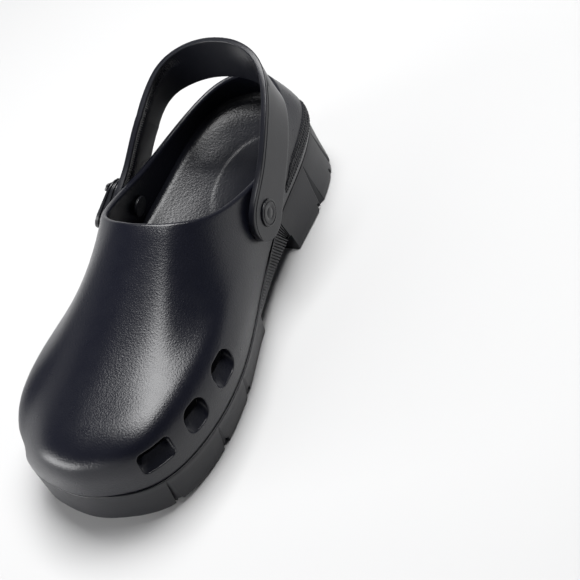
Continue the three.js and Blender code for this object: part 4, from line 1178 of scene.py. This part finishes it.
def make_strap():
    tip = 1 - np.cos(np.linspace(0, QUARTER_TURN, 24))
    us = np.concatenate([tip, np.linspace(1, STRAP_END - 1, STRAP_ROWS_FINE)[1:-1], (STRAP_END - tip)[::-1]])
    frames = [strap_middle(u) for u in us]
    places = np.array([frame[0] for frame in frames])
    steps = np.linalg.norm(np.diff(places, axis=0), axis=1)
    gone = np.concatenate([[0], np.cumsum(steps)])
    tangents = unit(np.gradient(places, axis=0))
    loops = []
    for u, so_far, tangent, (place, lean, slope, width) in zip(us, gone, tangents, frames):
        wide = np.array([slope * math.cos(lean), -math.sin(lean), math.cos(lean)])
        wide = unit(wide - dot(wide, tangent) * tangent)
        thick = unit(np.cross(wide, tangent))
        rest = STRAP_PADDLE * max(0, 1 - min(u, STRAP_END - u))
        round_half = math.sqrt(max(0, STRAP_PADDLE ** 2 - rest ** 2))
        half = max(min(width / 2, round_half), 1.2)
        from_top = abs(u - STRAP_END / 2)
        groove = 0.35 * smooth(from_top - 2)
        teeth = 0.5 + 0.5 * math.cos(2 * math.pi * so_far / KNURL_PITCH)
        reach = smooth((u - STRAP_END / 2 - 1.2) * 2) * smooth((STRAP_END - 1.2 - u) * 4)
        section = strap_section(half, groove, KNURL_DEPTH * teeth * reach)
        loops.append([place + wide * w + thick * d for w, d in section])
    return loft("clog_heel_strap", loops, sharp=40)


def turned(name, pivot, profile):
    """Lathed piece about a pivot's normal, from (height, radius) pairs that start and end on the axis."""
    turn = np.linspace(0, 2 * math.pi, ROUND_STEPS, endpoint=False)
    circle = np.column_stack([np.cos(turn), np.sin(turn)])
    loops = [pivot.put(ring_at(circle * r, h)) for h, r in profile]
    faces = [tuple(f) for f in grid_faces(len(loops), ROUND_STEPS)]
    return new_object(name, np.concatenate(loops), faces, sharp=40)


def arc_profile(height, radius, size, start, end, steps=5):
    """Round edge: an arc about a (height, radius) centre."""
    turns = np.radians(np.linspace(start, end, steps + 1))
    return [(height + size * math.sin(a), radius + size * math.cos(a)) for a in turns]


def rivet_profile(pivot, stack, head, crown):
    """Flat cap with a thin rim and a faint ring."""
    inner = -pivot.depth - CLEARANCE
    seat = stack + CLEARANCE
    edge = 0.5
    profile = [(inner - RIVET_BACK_THICKNESS, 0.0)]
    profile += arc_profile(inner - RIVET_BACK_THICKNESS + edge, RIVET_BACK - edge, edge, -90, 0)
    profile += [(inner, RIVET_BACK), (inner, RIVET_SHANK), (seat, RIVET_SHANK), (seat, head)]
    profile += arc_profile(seat + crown * 0.75 - 0.35, head - 0.35, 0.35, 0, 90)
    profile += [(seat + crown * rise, head - inset) for rise, inset in ((0.75, 0.9), (0.4, 1.2), (0.4, 1.5))]
    profile += arc_profile(seat + crown * 0.9 - 0.4, head - 2.0, 0.4, 0, 90)
    profile += [(seat + crown * rise, head - inset)
                for rise, inset in ((0.9, 4.4), (0.75, 4.6), (0.75, 4.9), (0.92, 5.1))]
    return profile + [(seat + crown, 0.0)]


def button_profile(pivot, seat_height):
    inner = -pivot.depth - CLEARANCE
    seat = seat_height + CLEARANCE
    profile = [(inner - RIVET_BACK_THICKNESS, 0.0)]
    profile += arc_profile(inner - RIVET_BACK_THICKNESS + 0.5, RIVET_BACK - 0.5, 0.5, -90, 0)
    profile += [(inner, RIVET_BACK), (inner, RIVET_SHANK), (seat, RIVET_SHANK), (seat, BUTTON_RADIUS)]
    profile += [(seat + BUTTON_CROWN * 0.45, BUTTON_RADIUS)]
    for k in range(1, 9):
        turn = QUARTER_TURN * k / 8
        height = seat + BUTTON_CROWN * (0.45 + 0.55 * math.sin(turn))
        radius = BUTTON_RADIUS * math.cos(turn)
        profile.append((height, radius))
        if k == 4:
            profile.append((height - 0.25, radius - 0.25))
            profile.append((height - 0.2, radius - 0.55))
    profile[-1] = (profile[-1][0], 0.0)
    return profile


def wedge(points):
    """Makes a piece on the strap's end thicker toward its lower end."""
    points = np.array(points, float)
    points[:, 2] *= 1 - BUCKLE_WEDGE * 2 * points[:, 0] / BUCKLE_LENGTH
    return points


def slab_rings(length, width, corner, low, high, edge=EDGE_ROUND):
    """Rings of a flat plate with rounded upper and lower edges."""
    rings = []
    for inset, z in ((edge, low), (edge * 0.3, low + edge * 0.3), (0, low + edge),
                     (0, high - edge), (edge * 0.3, high - edge * 0.3), (edge, high)):
        outline = rounded_outline(length - 2 * inset, width - 2 * inset, max(corner - inset, 0.2))
        rings.append(ring_at(outline, z))
    return rings


def stacked(name, rings, pivot, shift, lift):
    loops = [pivot.put(wedge(ring), shift=shift, lift=lift) for ring in rings]
    return loft(name, loops, sharp=35)


def make_buckle():
    """Plates with stepped edges and a tapered tongue in one piece, with a round seat for the button."""
    lift = STRAP_THICKNESS + CLEARANCE
    count = 2 * BUCKLE_LAYERS - 1
    layer = BUCKLE_THICKNESS / count
    rings = []
    for i in range(count):
        inset = 0 if i % 2 == 0 else BUCKLE_STEP
        size = (BUCKLE_LENGTH - 2 * inset, BUCKLE_WIDTH - 2 * inset, BUCKLE_CORNER - inset)
        rings += slab_rings(*size, i * layer, (i + 1) * layer, edge=0.28)
    body = stacked("clog_buckle", rings, LATERAL, BUCKLE_SHIFT, lift)
    start, end = 4 * BUCKLE_STEP - BUCKLE_LENGTH / 2, -BUCKLE_LENGTH / 2 - TONGUE_LENGTH
    tip = TONGUE_WIDTH / 6
    turn = np.linspace(QUARTER_TURN, 3 * QUARTER_TURN, 9)
    outline = [(start, -TONGUE_WIDTH / 2), (start, TONGUE_WIDTH / 2)]
    outline += [(end + tip + tip * math.cos(a), tip * math.sin(a)) for a in turn]
    outline = np.array(outline)
    middle = (BUCKLE_THICKNESS - TONGUE_THICKNESS) / 2
    centre = outline.mean(0)
    tongue_rings = []
    for shrink, z in ((0.94, 0), (1.0, 0.3), (1.0, TONGUE_THICKNESS - 0.3), (0.94, TONGUE_THICKNESS)):
        tongue_rings.append(ring_at(centre + (outline - centre) * shrink, middle + z))
    tongue = stacked("tongue", tongue_rings, LATERAL, BUCKLE_SHIFT, lift)
    radius = BUTTON_RADIUS + CLEARANCE
    turn = np.linspace(0, 2 * math.pi, 48, endpoint=False)
    circle = np.column_stack([radius * np.cos(turn), radius * np.sin(turn)])
    well = loft("well", [LATERAL.put(ring_at(circle, z)) for z in
                         (STRAP_THICKNESS + BUTTON_SEAT, STRAP_THICKNESS + 3 * BUCKLE_THICKNESS)])
    combine(body, [(tongue, "UNION"), (well, "DIFFERENCE")], sharp=35)
    return body


def make_bar():
    turn = math.radians(BAR_TURN)
    rings = []
    for ring in slab_rings(BAR_LENGTH, BAR_WIDTH, BAR_WIDTH / 3, 0, BAR_THICKNESS, edge=0.5):
        x = ring[:, 0] * math.cos(turn) - ring[:, 1] * math.sin(turn) + BAR_SHIFT
        y = ring[:, 0] * math.sin(turn) + ring[:, 1] * math.cos(turn)
        rings.append(np.column_stack([x, y, ring[:, 2] + BUCKLE_THICKNESS + CLEARANCE]))
    return stacked("clog_buckle_bar", rings, LATERAL, BUCKLE_SHIFT, STRAP_THICKNESS + CLEARANCE)


# Materials

class Nodes:
    """Short way to build a material's node tree."""

    def __init__(self, name):
        self.material = bpy.data.materials.new(name)
        self.material.use_nodes = True
        self.tree = self.material.node_tree
        self.shader = self.tree.nodes["Principled BSDF"]
        self.place = self.add("ShaderNodeTexCoord").outputs["Object"]

    def add(self, kind, **values):
        node = self.tree.nodes.new(kind)
        for key, value in values.items():
            if hasattr(node, key):
                setattr(node, key, value)
            else:
                node.inputs[key.replace("_", " ").title()].default_value = value
        return node

    def link(self, source, target):
        self.tree.links.new(source, target)

    def noise(self, scale, detail=3.0, rough=0.5):
        node = self.add("ShaderNodeTexNoise", scale=scale, detail=detail, roughness=rough)
        self.link(self.place, node.inputs["Vector"])
        return node.outputs["Fac"]

    def cells(self, scale):
        node = self.add("ShaderNodeTexVoronoi", feature="SMOOTH_F1", scale=scale)
        self.link(self.place, node.inputs["Vector"])
        return node.outputs["Distance"]

    def spread(self, value, low, high):
        """Maps 0 to 1 onto low to high."""
        node = self.add("ShaderNodeMapRange")
        self.link(value, node.inputs["Value"])
        node.inputs["To Min"].default_value = low
        node.inputs["To Max"].default_value = high
        return node.outputs["Result"]

    def mix_color(self, factor, a, b):
        node = self.add("ShaderNodeMix", data_type="RGBA")
        self.link(factor, node.inputs[0])
        node.inputs[6].default_value = (*a, 1)
        node.inputs[7].default_value = (*b, 1)
        return node.outputs[2]

    def bump(self, height, strength, distance, before=None):
        node = self.add("ShaderNodeBump")
        node.inputs["Strength"].default_value = strength
        node.inputs["Distance"].default_value = distance
        self.link(height, node.inputs["Height"])
        if before is not None:
            self.link(before, node.inputs["Normal"])
        return node.outputs["Normal"]


def rubber(name, dark, light, roughness, grain, depth, soft_edge=None, spread=0.05):
    """Moulded rubber: clouded colour, a slightly uneven gloss and a leather-like grain.

    grain: cells per metre. depth and soft_edge: millimetres.
    """
    nodes = Nodes(name)
    cloud = nodes.noise(28.0, 4.0)
    nodes.link(nodes.mix_color(cloud, dark, light), nodes.shader.inputs["Base Color"])
    uneven = nodes.noise(140.0, 5.0, 0.6)
    nodes.link(nodes.spread(uneven, roughness - spread, roughness + spread), nodes.shader.inputs["Roughness"])
    nodes.shader.inputs["IOR"].default_value = 1.45
    edge = None
    if soft_edge:
        rounding = nodes.add("ShaderNodeBevel", samples=6)
        rounding.inputs["Radius"].default_value = soft_edge * MM
        edge = rounding.outputs["Normal"]
    coarse = nodes.bump(nodes.cells(grain), 0.5, depth * MM, edge)
    fine = nodes.bump(nodes.noise(grain * 2.2, 3.0, 0.65), 0.45, depth * 0.6 * MM, coarse)
    nodes.link(fine, nodes.shader.inputs["Normal"])
    return nodes.material


def make_materials():
    black, blue_black = (0.0045, 0.005, 0.008), (0.007, 0.0075, 0.011)
    deep, deep_blue = (0.004, 0.0045, 0.0085), (0.006, 0.0065, 0.0115)
    return {
        "upper": rubber("upper_rubber", deep, deep_blue, 0.29, 1200.0, 0.135),
        "sole": rubber("sole_rubber", (0.006, 0.0065, 0.009), (0.009, 0.0095, 0.013), 0.40, 900.0, 0.05, 0.5),
        "footbed": rubber("footbed_rubber", black, blue_black, 0.32, 800.0, 0.21),
        "strap": rubber("strap_rubber", black, blue_black, 0.33, 1100.0, 0.05),
        "trim": rubber("trim_plastic", (0.007, 0.0075, 0.010), (0.010, 0.0105, 0.013), 0.34, 1300.0, 0.03),
    }


# Stage, light and camera

def make_stage():
    half = 1.6
    corners = [(-half, -half, 0), (half, -half, 0), (half, half, 0), (-half, half, 0)]
    mesh = bpy.data.meshes.new("floor")
    mesh.from_pydata(corners, [], [(0, 1, 2, 3)])
    floor = bpy.data.objects.new("floor", mesh)
    bpy.context.scene.collection.objects.link(floor)
    nodes = Nodes("pale_floor")
    nodes.shader.inputs["Roughness"].default_value = 0.9
    tint = nodes.mix_color(nodes.noise(3.0), (0.58, 0.58, 0.58), (0.60, 0.60, 0.60))
    nodes.link(tint, nodes.shader.inputs["Base Color"])
    mesh.materials.append(nodes.material)


def add_area(name, place, target, size, power):
    light = bpy.data.lights.new(name, "AREA")
    light.shape = "RECTANGLE"
    light.size, light.size_y = size
    light.energy = power
    obj = bpy.data.objects.new(name, light)
    bpy.context.scene.collection.objects.link(obj)
    obj.location = place
    obj.rotation_euler = (Vector(target) - Vector(place)).to_track_quat("-Z", "Y").to_euler()


def make_lights():
    add_area("overhead_softbox", (0.07, 0.27, 1.08), (0.0, 0.0, 0.05), (0.78, 0.60), 20.5)
    add_area("front_fill", (-0.85, -1.1, 0.34), (0.0, -0.05, 0.05), (1.3, 0.55), 20.0)
    world = bpy.data.worlds.new("pale_room")
    world.use_nodes = True
    tree = world.node_tree
    back = tree.nodes["Background"]
    place = tree.nodes.new("ShaderNodeTexCoord")
    split = tree.nodes.new("ShaderNodeSeparateXYZ")
    tree.links.new(place.outputs["Generated"], split.inputs[0])
    ramps = []
    for axis, low, high, near, far in (
        ("Z", 0.04, 0.5, (1.0, 1.0, 1.0, 1), (0.03, 0.031, 0.038, 1)),
        ("X", -0.1, 0.6, (1.0, 1.0, 1.0, 1), (0.12, 0.125, 0.14, 1)),
    ):
        ramp = tree.nodes.new("ShaderNodeValToRGB")
        ramp.color_ramp.elements[0].position = low
        ramp.color_ramp.elements[0].color = near
        ramp.color_ramp.elements[1].position = high
        ramp.color_ramp.elements[1].color = far
        tree.links.new(split.outputs[axis], ramp.inputs[0])
        ramps.append(ramp.outputs["Color"])
    blend = tree.nodes.new("ShaderNodeMix")
    blend.data_type = "RGBA"
    blend.blend_type = "MULTIPLY"
    blend.inputs[0].default_value = 1.0
    tree.links.new(ramps[0], blend.inputs[6])
    tree.links.new(ramps[1], blend.inputs[7])
    tree.links.new(blend.outputs[2], back.inputs["Color"])
    back.inputs["Strength"].default_value = 1.3
    bpy.context.scene.world = world
    bpy.context.scene.view_settings.view_transform = "Standard"


# The photograph's view, found from the parting line, collar and floor points. Degrees and millimetres.
CAMERA_PLACE = (371.77, -364.11, 503.11)
CAMERA_AZIMUTH = 39.883
CAMERA_ELEVATION = 44.956
CAMERA_ROLL = -25.18
CAMERA_FOCAL = 1217.43 / 580


def make_camera():
    azimuth, elevation, roll = (math.radians(v) for v in (CAMERA_AZIMUTH, CAMERA_ELEVATION, CAMERA_ROLL))
    forward = Vector((-math.sin(azimuth) * math.cos(elevation), math.cos(azimuth) * math.cos(elevation),
                      -math.sin(elevation)))
    right = forward.cross(Vector((0, 0, 1))).normalized()
    up = right.cross(forward)
    turned_right = right * math.cos(roll) + up * math.sin(roll)
    turned_up = up * math.cos(roll) - right * math.sin(roll)
    camera = bpy.data.cameras.new("camera")
    camera.sensor_width = 36.0
    camera.lens = CAMERA_FOCAL * camera.sensor_width
    camera.clip_start = 0.01
    obj = bpy.data.objects.new("camera", camera)
    bpy.context.scene.collection.objects.link(obj)
    axes = Matrix((turned_right, turned_up, -forward)).transposed().to_4x4()
    place = (Vector(CAMERA_PLACE) + Vector(SHIFT)) * MM
    obj.matrix_world = Matrix.Translation(place) @ axes
    bpy.context.scene.camera = obj


def dress(obj, material, slot, *nodes):
    """Gives a piece its finish and body, and lets it stand for CAD nodes."""
    obj.data.materials.clear()
    obj.data.materials.append(material)
    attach(obj, "root")
    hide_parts(*nodes)


def build():
    make_camera()
    make_stage()
    make_lights()
    finish = make_materials()
    dress(make_upper(), finish["upper"], "upper_rubber", "upper")
    dress(make_patch(), finish["sole"], "upper_rubber", "upper")
    dress(make_outsole(), finish["sole"], "sole_rubber", "outsole")
    dress(make_insole(), finish["footbed"], "footbed", "insole")
    dress(make_strap(), finish["strap"], "strap_rubber", "heel_strap")
    profile = rivet_profile(MEDIAL, STRAP_THICKNESS, RIVET_HEAD, RIVET_FLAT * RIVET_CROWN)
    dress(turned("clog_medial_rivet", MEDIAL, profile), finish["trim"], "trim", "medial_rivet")
    profile = button_profile(LATERAL, STRAP_THICKNESS + BUTTON_SEAT)
    dress(turned("clog_lateral_button", LATERAL, profile), finish["trim"], "trim", "lateral_button")
    dress(make_buckle(), finish["trim"], "trim", "buckle_plate")
    dress(make_bar(), finish["trim"], "trim", "buckle_bar")


build()
